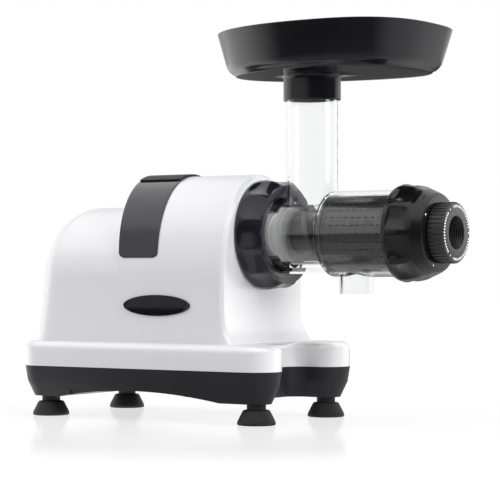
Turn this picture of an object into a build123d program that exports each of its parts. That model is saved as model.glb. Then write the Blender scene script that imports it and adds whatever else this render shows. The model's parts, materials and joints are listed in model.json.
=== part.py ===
from build123d import *
import math
import os

# Horizontal cold press juicer.  Millimetres.  +X runs along the drum axis towards the dial,
# +Z is up, and the origin is on the table, under the middle of the whole machine.

# ---- clearances -------------------------------------------------------------------------
turn_gap = 0.35          # between parts that turn or lift off against each other
running_gap = 0.05       # radial, shaft in bearing
fit_gap = 0.03           # radial, pressed or screwed parts of one body

# ---- base -------------------------------------------------------------------------------
base_rear_x = -210.0
base_width = 165.0
base_corner = 24.0       # plan radius of the two rear corners
foot_rear_x = -184.5
foot_front_x = 44.5
leg_radius = 22.5        # rounded end of each front leg
notch_rear_x = 24.0      # back of the gap between the front legs
notch_corner = 15.0
foot_height = 18.5
foot_radius = 17.15
foot_top_radius = 11.0
foot_cone_height = 13.3
foot_neck_radius = 8.5
foot_recess_radius = 6.0
foot_recess_depth = 7.0
tray_top_z = 47.0
tray_tuck = 9.0          # how far the charcoal wall curves in at its foot
tray_wall = 3.0
arch_rise = 8.0
arch_start_x = -166.0
arch_end_x = 14.0
band_top_z = 70.0
band_wall = 3.0
band_shoulder = 7.0
vent_count = 9
vent_pitch = 9.0
vent_length = 34.0
vent_width = 3.6
vent_centre_x = -122.0

# ---- body shell -------------------------------------------------------------------------
body_wall = 2.5
body_rear_x = -207.0     # at the foot of the shell
body_rear_lean = 7.0     # the rear wall leans forward by this much up to the spring line
body_half_low = 70.0
body_half_spring = 68.0
spring_z = 130.0         # where the arch of the hood begins
hood_crest_z = 223.0
rear_crest_z = 195.5
hood_proud = 0.2         # how far the sides of the front hood stand out from those of the rear hood
body_corner = 28.0       # radius that rounds the rear wall into the sides and the crest
seam_x = 10.0            # between shell and front cover
front_x = 14.0
cover_wall = 3.0
skirt_reach = 11.0       # flare of the front cover at its foot
skirt_top_z = 108.0
grip_low_z = 147.0
grip_rear_low_x = -100.0
grip_rear_top_x = -110.0
grip_front_low_x = -57.0
grip_front_top_x = -62.0
grip_corner = 5.0
grip_proud = 0.8
badge_x = -57.0
badge_z = 104.0
badge_length = 73.0
badge_height = 19.0
badge_thick = 1.6

# ---- drum line --------------------------------------------------------------------------
axis_z = 168.0
socket_radius = 41.0
socket_bore = 36.3
socket_end_x = 32.0
spigot_start_x = 16.0
drum_lug_radius = 40.2
drum_lug_thick = 3.0
collar_rear_x = front_x + turn_gap
collar_end_x = 40.0
collar_radius = 50.0
collar_front_radius = 46.0
collar_bore = 34.0
collar_lip = 2.0         # thickness at the bore, in front of the drum's lugs
collar_grips = 12
grip_cut_radius = 55.0
grip_cut_depth = 3.0
neck_radius = 30.0
drum_wall = 3.0
neck_start_x = 44.0      # end of the flare behind the neck
drum_step_x = 90.0
drum_radius = 38.0
drum_end_x = 173.0
cap_start_x = 158.0
cap_end_x = 194.0
cap_radius = 43.5
cap_rear_radius = 41.8
cap_front_radius = 34.0
cap_lobes = 10
cap_cut_radius = 26.0
cap_cut_depth = 4.6      # halfway along the cap, from its largest radius
cap_cut_tilt = 14.0
cap_plate = 5.0
cap_wedge_angle = 150.0
cap_dot_angle = 246.0
dial_start_x = cap_end_x + turn_gap
dial_end_x = 210.0
dial_radius = 26.6
dial_ribs = 40
dial_rib_radius = 0.8
dial_bore = 14.3
shank_radius = 22.0
mark_radius = 22.9
mark_width = 2.0
mark_height = 0.3        # depth that the marks are let in
dial_mark_start = 0.0
nozzle_bore = 10.5
nozzle_outer = 18.0
nozzle_length = 8.0
nozzle_travel = 3.0

# ---- auger and screen -------------------------------------------------------------------
auger_radius = 26.5
auger_core = 17.0
auger_end_x = 152.0
auger_tip_x = 170.0
auger_turns = 2.25
flight_angle = 46.0      # share of the circle that the flight takes, in degrees
shoulder_x = 22.0        # thrust shoulder behind the core
shoulder_thick = 4.0
sleeve_end_x = 53.0      # front of the nylon sleeve behind the first flight
sleeve_radius = 24.5
sleeve_bore = 13.0
journal_radius = 11.0
hex_width = 12.0         # across flats of the drive end
screen_radius = 33.5
screen_wall = 2.0
screen_slots = 12
screen_rows = 4
slot_width = 1.6

# ---- feed tube, outlet and hopper -------------------------------------------------------
tube_x = 65.5
tube_length = 49.0
tube_width = 37.0
tube_wall = 2.75
outlet_x = 111.0
outlet_radius = 15.0
outlet_wall = 2.5
outlet_end_z = 115.0
channel_bottom_z = 132.5
channel_half_width = 13.0
channel_start_x = 50.0
hopper_floor_z = 310.5
hopper_rim_z = 349.0
hopper_side_z = 319.0    # where the rounded foot of the hopper wall ends
hopper_waist_x = 105.0   # widest place
hopper_half_width = 84.0
hopper_rear_reach = 130.0
hopper_front_reach = 84.0
hopper_slope = 8.0       # inset of the wall at hopper_side_z
hopper_bend = 10.9       # inset halfway round the foot of the wall
hopper_foot = 16.5       # inset at the floor
hopper_wall = 2.5
sleeve_wall = 2.4
sleeve_low_z = 288.0

# ---- gear train and motor ---------------------------------------------------------------
pressure_angle = 25.0
addendum = 0.9
dedendum = 1.3
backlash = 0.25
pinion_teeth = 12
first_gear_teeth = 60
first_module = 1.0
second_pinion_teeth = 14
output_teeth = 60
second_module = 1.25
layshaft_y = 22.0
output_gear_x = -20.0
output_gear_thick = 14.0
first_gear_x = -38.0
first_gear_thick = 10.0
gearbox_rear_x = -50.0
gearbox_wall = 3.5
gearbox_front_x = 3.0
screw_lug_radius = 5.0     # ears for the screws of the gearbox cover
screw_lug_length = 9.0
front_plate_thick = 6.0
gear_room = 2.5          # between gear tips and the gearbox wall
layshaft_radius = 5.0
output_shaft_radius = 10.0
motor_shaft_radius = 4.0
layshaft_bearing = 9.5
output_bearing = 16.0
motor_bearing = 10.0
bearing_width = 6.0
stator_rear_x = -140.0
stator_length = 50.0
stator_side = 84.0
stator_bore = 26.0
rotor_gap = 0.5
winding_inner = 28.0
winding_outer = 37.0
winding_reach = 13.0
bracket_reach = 21.0
bracket_wall = 2.5
bracket_flange = 4.0
bracket_radius = 40.5
motor_bolt_offset = 37.0
motor_bolt_radius = 2.0
fan_radius = 33.0
fan_hub_radius = 9.0
fan_width = 9.0
fan_disc = 2.0
fan_blade = 1.8          # thickness of one blade
fan_blades = 9
chassis_z = tray_top_z
chassis_thick = 3.0
chassis_half_width = 50.0
chassis_rear_x = -168.0
chassis_front_x = 0.0

# ---- switch and power inlet -------------------------------------------------------------
switch_z = 106.0
switch_width = 22.0
switch_height = 34.0
switch_opening = (15.0, 25.0)
rocker_radius = 12.0
rocker_pin = 1.5
inlet_y = 27.0
inlet_z = 86.0
inlet_radius = 6.5

switch_body = (switch_width - 3.0, switch_height - 3.0)
switch_depth = 15.0
rocker_depth = 4.0       # of the rocker axis behind the rear wall
lead_radius = 3.6        # bore of the inlet bush
capacitor_radius = 13.0
capacitor_y = -18.0
saddle_half = 8.0
saddle_height = 8.0
terminal_block_y = 16.0
terminal_pitch = 9.0
terminal_count = 4

# ---- screws -----------------------------------------------------------------------------
m4 = 2.0
m4_head = 3.8
m4_head_height = 2.6
m3 = 1.5
m3_head = 2.9
m3_head_height = 2.0
socket_screw_radius = 28.0    # of their circle about the drum axis
socket_floor = 4.0

foot_y = base_width / 2 - leg_radius
front_round_x = foot_front_x + leg_radius
drum_inner = drum_radius - drum_wall
neck_inner = neck_radius - drum_wall
layshaft_distance = second_module * (second_pinion_teeth + output_teeth) / 2
layshaft_z = axis_z - math.sqrt(layshaft_distance**2 - layshaft_y**2)
motor_distance = first_module * (pinion_teeth + first_gear_teeth) / 2
motor_z = layshaft_z - math.sqrt(motor_distance**2 - layshaft_y**2)
output_gear_radius = second_module * (output_teeth / 2 + addendum)
first_gear_radius = first_module * (first_gear_teeth / 2 + addendum)
stator_front_x = stator_rear_x + stator_length
front_plate_x = gearbox_front_x + front_plate_thick
cap_plate_x = drum_end_x + turn_gap
shank_x = cap_plate_x + cap_plate + turn_gap
hood_slope = (grip_rear_top_x - grip_rear_low_x) / (hood_crest_z - grip_low_z)
rear_slope = body_rear_lean / (spring_z - band_top_z)
rear_lean_angle = math.degrees(math.atan(rear_slope))


# ---- shared shapes ----------------------------------------------------------------------
def box(x0, x1, y0, y1, z0, z1):
    centre = Pos((x0 + x1) / 2, (y0 + y1) / 2, (z0 + z1) / 2)
    return centre * Box(x1 - x0, y1 - y0, z1 - z0)


def rod(x0, x1, radius, y=0.0, z=axis_z):
    """Cylinder along X."""
    return Pos((x0 + x1) / 2, y, z) * Rot(0, 90, 0) * Cylinder(radius, x1 - x0)


def ring(x0, x1, outer, inner, y=0.0, z=axis_z):
    return rod(x0, x1, outer, y, z) - rod(x0 - 1, x1 + 1, inner, y, z)


def post(x, y, z0, z1, radius):
    """Cylinder along Z."""
    return Pos(x, y, (z0 + z1) / 2) * Cylinder(radius, z1 - z0)


def turned(*outline):
    """Solid of revolution about the drum axis, from (x, radius) points."""
    face = make_face(Polyline(*outline, close=True))
    return Pos(0, 0, axis_z) * revolve(face, Axis.X)


def turned_up(x, y, *outline):
    """Solid of revolution about a vertical axis, from (radius, z) points."""
    face = Plane.XZ * make_face(Polyline(*outline, close=True))
    return Pos(x, y, 0) * revolve(face, Axis.Z)


def side_extrude(face, half_width):
    """A face drawn in X and Z, extruded both ways along Y."""
    return extrude(Plane.XZ * face, half_width, both=True)


def along_x(face, x0, x1):
    """A face drawn in Y and Z, extruded along X."""
    return extrude(Pos(x0, 0, 0) * (Plane.YZ * face), x1 - x0, dir=(1, 0, 0))


def around(count, start=0.0):
    """Angles of equal steps about the drum axis."""
    return [start + 360 * i / count for i in range(count)]


def about_axis(angle, z=axis_z, y=0.0):
    return Pos(0, y, z) * Rot(angle, 0, 0)


def joined(shapes):
    first, *others = shapes
    for other in others:
        first = first + other
    return first


def screw(head_radius, head_height, shank, length):
    """Pan head screw: head below Z 0, shank up along Z."""
    head = Pos(0, 0, -head_height / 2) * Cylinder(head_radius, head_height)
    return head + Pos(0, 0, length / 2) * Cylinder(shank, length)


# ---- base -------------------------------------------------------------------------------
def base_plan(inset):
    """Plan of the base: rounded rear, two round-ended front legs with a gap between."""
    half = base_width / 2 - inset
    rear = base_rear_x + inset
    middle = (rear + foot_front_x) / 2
    rounded = Pos(middle, 0) * RectangleRounded(foot_front_x - rear, 2 * half, base_corner - inset)
    square = Pos((middle + foot_front_x) / 2, 0) * Rectangle(foot_front_x - middle, 2 * half)
    legs = [Pos(foot_front_x, side * foot_y) * Circle(leg_radius - inset) for side in (-1, 1)]
    gap_half = foot_y - leg_radius + inset
    gap_rear = notch_rear_x - inset
    gap_length = front_round_x + leg_radius - gap_rear
    gap = Pos(gap_rear + gap_length / 2, 0) * RectangleRounded(gap_length, 2 * gap_half, notch_corner)
    return rounded + square + legs[0] + legs[1] - gap


def tray_solid(inset, low_z, high_z):
    """Solid of the base tray's plan, tucked in towards the table."""
    middle_z = (low_z + high_z) / 2
    lower = loft([
        Pos(0, 0, low_z) * base_plan(inset + tray_tuck),
        Pos(0, 0, middle_z) * base_plan(inset + tray_tuck / 4),
    ], ruled=True)
    upper = loft([
        Pos(0, 0, middle_z) * base_plan(inset + tray_tuck / 4),
        Pos(0, 0, high_z) * base_plan(inset),
    ], ruled=True)
    return lower + upper


def arch_cylinder(extra):
    """The shallow arch under each side, as a big cylinder along Y."""
    half_chord = (arch_end_x - arch_start_x) / 2
    radius = (half_chord**2 + arch_rise**2) / (2 * arch_rise)
    centre_z = foot_height + arch_rise - radius
    place = Pos((arch_start_x + arch_end_x) / 2, 0, centre_z) * Rot(90, 0, 0)
    return place * Cylinder(radius + extra, base_width * 2)


feet_places = {
    "rear_left": (foot_rear_x, foot_y),
    "rear_right": (foot_rear_x, -foot_y),
    "front_left": (foot_front_x, foot_y),
    "front_right": (foot_front_x, -foot_y),
}
shell_screw_places = [(x, side * (body_half_low + 1.5)) for x in (-150.0, -20.0) for side in (-1, 1)]
chassis_screw_places = [(x, side * 42.0) for x in (-156.0, -14.0) for side in (-1, 1)]
foot_boss_top_z = foot_height + 14.0
base_screw_seat_z = foot_height + arch_rise + 7.0
boss_radius = 5.5


def make_base_tray():
    shell = tray_solid(0, foot_height, tray_top_z) - arch_cylinder(0)
    room = tray_solid(tray_wall, foot_height + tray_wall, tray_top_z + 1) - arch_cylinder(tray_wall)
    tray = shell - room
    for x, y in feet_places.values():
        tray += post(x, y, foot_height, foot_boss_top_z, boss_radius)
        tray -= post(x, y, foot_height - 1, foot_boss_top_z + 1, m4 + fit_gap)
    for x, y in shell_screw_places + chassis_screw_places:
        tray += post(x, y, foot_height, tray_top_z, boss_radius)
        tray -= post(x, y, foot_height - 1, base_screw_seat_z, m4_head + 0.4)
        tray -= post(x, y, foot_height - 1, tray_top_z + 1, m4 + fit_gap)
    tray -= arch_cylinder(0)
    for i in range(vent_count):
        x = vent_centre_x + (i - (vent_count - 1) / 2) * vent_pitch
        tray -= box(x - vent_width / 2, x + vent_width / 2, -vent_length / 2, vent_length / 2, 0, tray_top_z)
    return tray


def make_base_band():
    outer = extrude(Pos(0, 0, tray_top_z) * base_plan(0), band_top_z - tray_top_z)
    top_edges = outer.edges().group_by(Axis.Z)[-1]
    outer = fillet(top_edges, band_shoulder)
    room_height = band_top_z - tray_top_z + 1 - band_wall
    room = extrude(Pos(0, 0, tray_top_z - 1) * base_plan(band_wall), room_height)
    opening_half = body_half_low - 8.0
    opening_rear = body_rear_x + 10.0
    opening = box(opening_rear, notch_rear_x - 10.0, -opening_half, opening_half, tray_top_z, band_top_z + 1)
    band = outer - room - opening
    for x, y in shell_screw_places:
        band += post(x, y, tray_top_z, band_top_z - band_wall + 0.5, boss_radius - 0.5)
        band -= post(x, y, tray_top_z - 1, band_top_z - band_wall - 3, m4 + fit_gap)
    return band


def make_foot(x, y):
    foot = turned_up(
        x, y,
        (0, 0), (foot_radius - 1, 0), (foot_radius, 1), (foot_radius - 0.6, 4),
        (foot_top_radius, foot_cone_height), (foot_neck_radius, foot_cone_height),
        (foot_neck_radius, foot_height), (0, foot_height),
    )
    foot -= post(x, y, -1, foot_recess_depth, foot_recess_radius)
    return foot - post(x, y, 0, foot_height + 1, m4 + fit_gap)


def make_foot_screws():
    length = foot_boss_top_z - foot_recess_depth - 2.0
    one = screw(m4_head, m4_head_height, m4, length)
    return Compound([Pos(x, y, foot_recess_depth) * one for x, y in feet_places.values()])


def make_shell_screws():
    """Screws from below that hold the band and the chassis plate to the tray."""
    seat_z = base_screw_seat_z
    shell_one = screw(m4_head, m4_head_height, m4, band_top_z - band_wall - 4 - seat_z)
    chassis_one = screw(m4_head, m4_head_height, m4, chassis_z + chassis_thick - seat_z)
    placed = [Pos(x, y, seat_z) * shell_one for x, y in shell_screw_places]
    placed += [Pos(x, y, seat_z) * chassis_one for x, y in chassis_screw_places]
    return Compound(placed)


# ---- body shell -------------------------------------------------------------------------
def side_wall_y(z):
    """Half width of the shell below the spring line."""
    flare = body_half_low - body_half_spring
    return body_half_spring + flare * ((spring_z - z) / (spring_z - band_top_z))**2


def arch_face(inset, crest_z, low_z):
    """Cross section of the hood, drawn in Y and Z: an arch on two slightly flared walls."""
    spring = body_half_spring - inset
    low = side_wall_y(low_z) - inset
    bend_z = (spring_z + low_z) / 2
    return make_face([
        Bezier((spring, spring_z), (spring, bend_z), (low, low_z)),
        EllipticalCenterArc((0, spring_z), spring, crest_z - inset - spring_z, 0, arc_size=180),
        Bezier((-spring, spring_z), (-spring, bend_z), (-low, low_z)),
        Line((low, low_z), (-low, low_z)),
    ])


def rear_wall_x(z):
    return body_rear_x + rear_slope * (z - band_top_z)


def hood_solid(inset, front, low_z):
    """Front hood: the tall arch, cut back along the slanted rear edge of the grip band."""
    arch = along_x(arch_face(inset, hood_crest_z, low_z), grip_rear_top_x - 10, front)
    bottom = low_z - 1
    above = hood_crest_z + 10
    low_x = grip_rear_low_x + inset + hood_slope * (bottom - grip_low_z)
    high_x = grip_rear_low_x + inset + hood_slope * (above - grip_low_z)
    keep = make_face(Polyline(
        (low_x, bottom), (front + 1, bottom), (front + 1, above), (high_x, above), close=True,
    ))
    return arch & side_extrude(keep, body_half_low + 5)


def rear_solid(inset, low_z):
    """Rear hood: a lower arch, its leaning rear wall rounded into the sides and the crest."""
    front = grip_front_low_x
    section = arch_face(inset + hood_proud, rear_crest_z + hood_proud, low_z)
    arch = along_x(section, body_rear_x - 20, front)
    above = rear_crest_z + 5
    keep = make_face(Polyline(
        (rear_wall_x(low_z) + inset, low_z), (front + 1, low_z),
        (front + 1, above), (rear_wall_x(above) + inset, above), close=True,
    ))
    hood = arch & side_extrude(keep, body_half_low + 5)
    rear_edges = hood.faces().sort_by(Axis.X)[0].edges()
    return fillet(rear_edges.sort_by(Axis.Z)[1:], body_corner - inset)


def housing_solid(inset, front, low_z):
    return rear_solid(inset, low_z) + hood_solid(inset, front, low_z)


def rear_wall_place(y, z):
    """A place on the leaning rear wall: local +Z points out of the machine, local +X is -Y."""
    return Pos(rear_wall_x(z), y, z) * Rot(0, -90 + rear_lean_angle, 0) * Rot(0, 0, 90)


def make_housing_shell():
    outer = housing_solid(0, seam_x, band_top_z)
    inner = housing_solid(body_wall, seam_x + 1, band_top_z - 1)
    shell = outer - inner
    shell -= rear_wall_place(0, switch_z) * Box(switch_body[0] + 0.3, switch_body[1] + 0.3, 20)
    shell -= rear_wall_place(inlet_y, inlet_z) * Cylinder(inlet_radius + fit_gap, 20)
    return shell


def cover_profile(inset, low_z):
    """Side view of the front cover: upright plate over a flared skirt."""
    face_x = front_x - inset
    foot_x = front_x + skirt_reach - inset
    rear_x = seam_x - (1 if inset else 0)
    top_z = hood_crest_z + 5
    edges = [
        Line((rear_x, low_z), (foot_x, low_z)),
        Bezier((foot_x, band_top_z), (face_x, band_top_z + 10), (face_x, skirt_top_z)),
        Line((face_x, skirt_top_z), (face_x, top_z)),
        Line((face_x, top_z), (rear_x, top_z)),
        Line((rear_x, top_z), (rear_x, low_z)),
    ]
    if low_z < band_top_z:
        edges.append(Line((foot_x, low_z), (foot_x, band_top_z)))
    return side_extrude(make_face(edges), body_half_low + 5)


def make_front_cover():
    reach = front_x + skirt_reach + 5
    outer = along_x(arch_face(0, hood_crest_z, band_top_z), seam_x, reach) & cover_profile(0, band_top_z)
    inner_face = arch_face(cover_wall, hood_crest_z, band_top_z - 1)
    inner = along_x(inner_face, seam_x - 1, reach) & cover_profile(cover_wall, band_top_z - 1)
    return outer - inner - rod(seam_x - 5, reach, socket_radius + fit_gap)


def make_grip_band():
    above_z = hood_crest_z + 5
    cutter = make_face(Polyline(
        (grip_rear_low_x, grip_low_z), (grip_front_low_x, grip_low_z),
        (grip_front_top_x, above_z), (grip_rear_low_x + hood_slope * (above_z - grip_low_z), above_z),
        close=True,
    ))
    cutter = fillet(cutter.vertices().group_by(Axis.Y)[0], grip_corner)
    skin = arch_face(-grip_proud, hood_crest_z, band_top_z) - arch_face(-fit_gap, hood_crest_z, band_top_z)
    strip = along_x(skin, grip_rear_top_x - 5, grip_front_low_x + 5)
    return strip & side_extrude(cutter, body_half_low + 5)


def make_badge():
    """Blank oval plate on the right side wall."""
    low_y = side_wall_y(badge_z - badge_height / 2)
    high_y = side_wall_y(badge_z + badge_height / 2)
    lean = math.degrees(math.atan2(low_y - high_y, badge_height))
    place = Pos(badge_x, -(low_y + high_y) / 2, badge_z) * Rot(90 - lean, 0, 0)
    return place * extrude(oval(badge_length, badge_height), badge_thick)


# ---- drum line --------------------------------------------------------------------------
def make_drum_socket():
    """Bayonet socket on the gearbox front plate, which carries the drum."""
    tube = ring(front_plate_x, socket_end_x, socket_radius, socket_bore)
    floor = ring(front_plate_x, front_plate_x + socket_floor, socket_radius, output_shaft_radius + 3)
    socket = tube + floor
    for place in socket_screw_places():
        socket -= place * rod(front_plate_x - 1, socket_end_x, m3 + fit_gap, 0, 0)
    return socket


def socket_screw_places():
    return [about_axis(angle) * Pos(0, socket_screw_radius, 0) for angle in around(4, 45)]


def make_socket_screws():
    one = Rot(0, -90, 0) * screw(m3_head, m3_head_height, m3, front_plate_thick + 2)
    seat = Pos(front_plate_x + socket_floor, 0, 0)
    return Compound([place * seat * one for place in socket_screw_places()])


def make_locking_collar():
    rear_bore = socket_radius + turn_gap
    groove_end = socket_end_x + turn_gap + drum_lug_thick + turn_gap
    collar = turned(
        (collar_rear_x, rear_bore), (collar_rear_x, collar_radius - 3), (collar_rear_x + 3, collar_radius),
        (collar_end_x - 10, collar_radius), (collar_end_x - 2, collar_front_radius + 0.6),
        (collar_end_x, collar_front_radius - 2), (groove_end + collar_lip, collar_bore),
        (groove_end, collar_bore), (groove_end, rear_bore),
    )
    reach = collar_radius + grip_cut_radius - grip_cut_depth
    for angle in around(collar_grips):
        collar -= about_axis(angle) * rod(collar_rear_x + 4, collar_end_x - 4, grip_cut_radius, reach, 0)
    return collar


def oval(length, width):
    return Ellipse(length / 2, width / 2)


def make_drum():
    lug_x = socket_end_x + turn_gap
    spigot_radius = socket_bore - turn_gap
    outer = turned(
        (spigot_start_x, 0), (spigot_start_x, spigot_radius), (lug_x, spigot_radius),
        (lug_x, drum_lug_radius), (lug_x + drum_lug_thick, drum_lug_radius),
        (lug_x + drum_lug_thick, collar_bore - turn_gap), (neck_start_x - 6, collar_bore - turn_gap - 1),
        (neck_start_x, neck_radius), (drum_step_x - 2, neck_radius), (drum_step_x - 2, drum_radius - 2.0),
        (drum_step_x, drum_radius), (drum_end_x, drum_radius), (drum_end_x, 0),
    )
    back_x = spigot_start_x + drum_wall
    inner = turned(
        (back_x, 0), (back_x, neck_inner), (drum_step_x + 1, neck_inner), (drum_step_x + 1, drum_inner),
        (drum_end_x + 1, drum_inner), (drum_end_x + 1, 0),
    )
    tube_top_z = hopper_floor_z - 0.2
    tube_outer = Pos(tube_x, 0, axis_z) * extrude(oval(tube_length, tube_width), tube_top_z - axis_z)
    tube_inner = Pos(tube_x, 0, axis_z) * extrude(
        oval(tube_length - 2 * tube_wall, tube_width - 2 * tube_wall), tube_top_z + 1 - axis_z)
    outlet_outer = post(outlet_x, 0, outlet_end_z, axis_z, outlet_radius)
    outlet_inner = post(outlet_x, 0, outlet_end_z - 1, axis_z, outlet_radius - outlet_wall)
    channel_outer = box(channel_start_x, drum_step_x, -channel_half_width, channel_half_width,
                        channel_bottom_z, axis_z - neck_inner)
    channel_inner = box(channel_start_x + 2, drum_step_x + 2, 2 - channel_half_width, channel_half_width - 2,
                        channel_bottom_z + 2, axis_z - neck_radius)
    bore = rod(spigot_start_x - 1, back_x + 1, journal_radius + 3)
    solid = outer + tube_outer + outlet_outer + channel_outer
    return solid - inner - tube_inner - outlet_inner - channel_inner - bore


def make_drum_seal():
    """Silicone lip in the rear wall of the drum, around the auger journal."""
    outer_radius = journal_radius + 3 - fit_gap
    return ring(spigot_start_x, spigot_start_x + drum_wall, outer_radius, journal_radius + turn_gap)


def make_auger():
    lobe = Circle(auger_radius) - Circle(auger_core - 2)
    far = auger_radius * 2
    side = far * math.tan(math.radians(flight_angle / 2))
    wedge = make_face(Polyline((0, 0), (far, -side), (far, side), close=True))
    section = (lobe & wedge).faces()[0]
    length = auger_end_x - sleeve_end_x
    flight = Solid.extrude_linear_with_rotation(section, (0, 0, 0), (0, 0, length), 360 * auger_turns)
    flight = Pos(sleeve_end_x, 0, axis_z) * Rot(0, 90, 0) * Part(flight.wrapped)
    shoulder_end = shoulder_x + shoulder_thick
    stem = sleeve_bore - fit_gap
    core = turned(
        (spigot_start_x - 1, 0), (spigot_start_x - 1, journal_radius), (shoulder_x, journal_radius),
        (shoulder_x, auger_radius - 1), (shoulder_end, auger_radius - 1), (shoulder_end, stem),
        (sleeve_end_x, stem), (sleeve_end_x, auger_core),
        (auger_end_x, auger_core + 1.5), (auger_tip_x - 6, nozzle_bore - 1.5), (auger_tip_x, 0),
    )
    return core + flight


def make_auger_sleeve():
    """Nylon sleeve on the stem of the auger, which fills the drum's neck behind the first flight."""
    return ring(shoulder_x + shoulder_thick, sleeve_end_x, sleeve_radius, sleeve_bore)


def hexagon(x0, x1, across):
    face = Plane.YZ * RegularPolygon(across / math.sqrt(3), 6)
    return Pos(x0, 0, axis_z) * extrude(face, x1 - x0, dir=(1, 0, 0))


def make_auger_drive():
    """Steel hexagon moulded into the auger, which enters the output shaft."""
    return hexagon(front_plate_x - 8, spigot_start_x - 1, hex_width)


def make_screen():
    end_x = drum_end_x - 4
    screen = ring(drum_step_x + 1.5, end_x, screen_radius, screen_radius - screen_wall)
    front_flange = ring(end_x - 2, end_x, drum_inner - fit_gap, screen_radius - 1)
    rear_flange = ring(drum_step_x + 1.5, drum_step_x + 3.5, drum_inner - fit_gap, screen_radius - 1)
    liner = ring(drum_step_x + 1.5, drum_step_x + 4, screen_radius, auger_radius + turn_gap)
    screen = screen + front_flange + rear_flange + liner
    slot_length = (end_x - drum_step_x - 16) / screen_rows - 3
    half = slot_width / 2
    for row in range(screen_rows):
        x0 = drum_step_x + 9 + row * (slot_length + 3)
        for angle in around(screen_slots, 15 * (row % 2)):
            screen -= about_axis(angle) * box(x0, x0 + slot_length, 0, screen_radius + 2, -half, half)
    return screen


def make_end_cap():
    bore = drum_radius + turn_gap
    rest_radius = shank_radius + turn_gap
    plate_x = cap_plate_x
    cap = turned(
        (cap_start_x, bore), (cap_start_x, cap_rear_radius), (cap_start_x + 4, cap_radius - 0.6),
        (cap_start_x + 9, cap_radius), (cap_start_x + 18, cap_radius - 1.6),
        (cap_end_x - 8, cap_front_radius + 3.6), (cap_end_x - 1.5, cap_front_radius + 0.6),
        (cap_end_x, cap_front_radius - 1), (cap_end_x, rest_radius),
        (plate_x + cap_plate, rest_radius), (plate_x + cap_plate, nozzle_bore + 5),
        (plate_x, nozzle_bore + 3), (plate_x, bore),
    )
    reach = cap_radius + cap_cut_radius - cap_cut_depth
    for angle in around(cap_lobes, 18):
        cut = Rot(0, cap_cut_tilt, 0) * rod(-cap_radius, cap_radius, cap_cut_radius, 0, 0)
        cap -= about_axis(angle) * Pos((cap_start_x + cap_end_x) / 2, 0, reach) * cut
    for mark in cap_mark_solids():
        cap -= mark
    return cap


def make_cap_seal():
    """Face ring between drum and cap, carried by the drum end."""
    return ring(drum_end_x - 3.5, drum_end_x, drum_inner - fit_gap, drum_inner - 2)


def dial_outline(radius):
    outline = Circle(radius)
    for angle in around(dial_ribs):
        outline -= Rot(0, 0, angle) * Pos(radius + 0.2, 0) * Circle(dial_rib_radius)
    return outline


def make_dial():
    grip = Pos(0, 0, axis_z) * along_x(dial_outline(dial_radius), dial_start_x, dial_end_x)
    bevel = turned(
        (dial_start_x - 1, 0), (dial_start_x - 1, dial_radius + 1), (dial_end_x - 1.5, dial_radius + 1),
        (dial_end_x, dial_radius - 0.5), (dial_end_x, 0),
    )
    shank = rod(shank_x, dial_start_x + 1, shank_radius)
    dial = (grip & bevel) + shank
    dial -= rod(shank_x - 1, dial_end_x + 1, dial_bore)
    dial -= rod(shank_x - 1, shank_x + nozzle_length + nozzle_travel + turn_gap, nozzle_outer + turn_gap)
    for mark in dial_mark_solids():
        dial -= mark
    return dial


def make_nozzle():
    """Inner pulp nozzle: a ring with a tapered throat that slides in the dial shank."""
    return turned(
        (shank_x, nozzle_bore + 3), (shank_x, nozzle_outer), (shank_x + nozzle_length, nozzle_outer),
        (shank_x + nozzle_length, nozzle_bore), (shank_x + nozzle_length - 3, nozzle_bore),
    )


def arc_mark(inner, outer, start, sweep):
    """Part of a flat ring, drawn in Y and Z."""
    turns = [math.radians(start + share * sweep) for share in (0, 0.5, 1)]
    (x0, y0), (x1, y1), (x2, y2) = [(math.cos(turn), math.sin(turn)) for turn in turns]
    return make_face([
        ThreePointArc((x0 * outer, y0 * outer), (x1 * outer, y1 * outer), (x2 * outer, y2 * outer)),
        Line((x2 * outer, y2 * outer), (x2 * inner, y2 * inner)),
        ThreePointArc((x2 * inner, y2 * inner), (x1 * inner, y1 * inner), (x0 * inner, y0 * inner)),
        Line((x0 * inner, y0 * inner), (x0 * outer, y0 * outer)),
    ])


def dial_mark_solids():
    """Three dots and three arcs let into the face of the dial."""
    marks = []
    for angle in around(3, dial_mark_start):
        arc = arc_mark(mark_radius - mark_width / 2, mark_radius + mark_width / 2, angle + 12, 96)
        dot = Rot(0, 0, angle) * Pos(mark_radius, 0) * Circle(mark_width / 2)
        for face in (arc, dot):
            placed = Pos(0, 0, axis_z) * along_x(face, dial_end_x - mark_height, dial_end_x)
            marks += placed.solids()
    return marks


def make_dial_marks():
    return Compound(dial_mark_solids())


def cap_mark_solids():
    """Two pointers let into the front rim of the cap: a wedge and a dot."""
    rim = (cap_front_radius - 1 + shank_radius + turn_gap) / 2 + 3
    wedge = Pos(rim, 0) * RegularPolygon(1.5, 3)
    dot = Pos(rim, 0) * Circle(0.9)
    marks = []
    for face, angle in ((wedge, cap_wedge_angle), (dot, cap_dot_angle)):
        turned_face = Rot(0, 0, angle) * face
        placed = Pos(0, 0, axis_z) * along_x(turned_face, cap_end_x - mark_height, cap_end_x)
        marks += placed.solids()
    return marks


def make_cap_marks():
    return Compound(cap_mark_solids())


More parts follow.
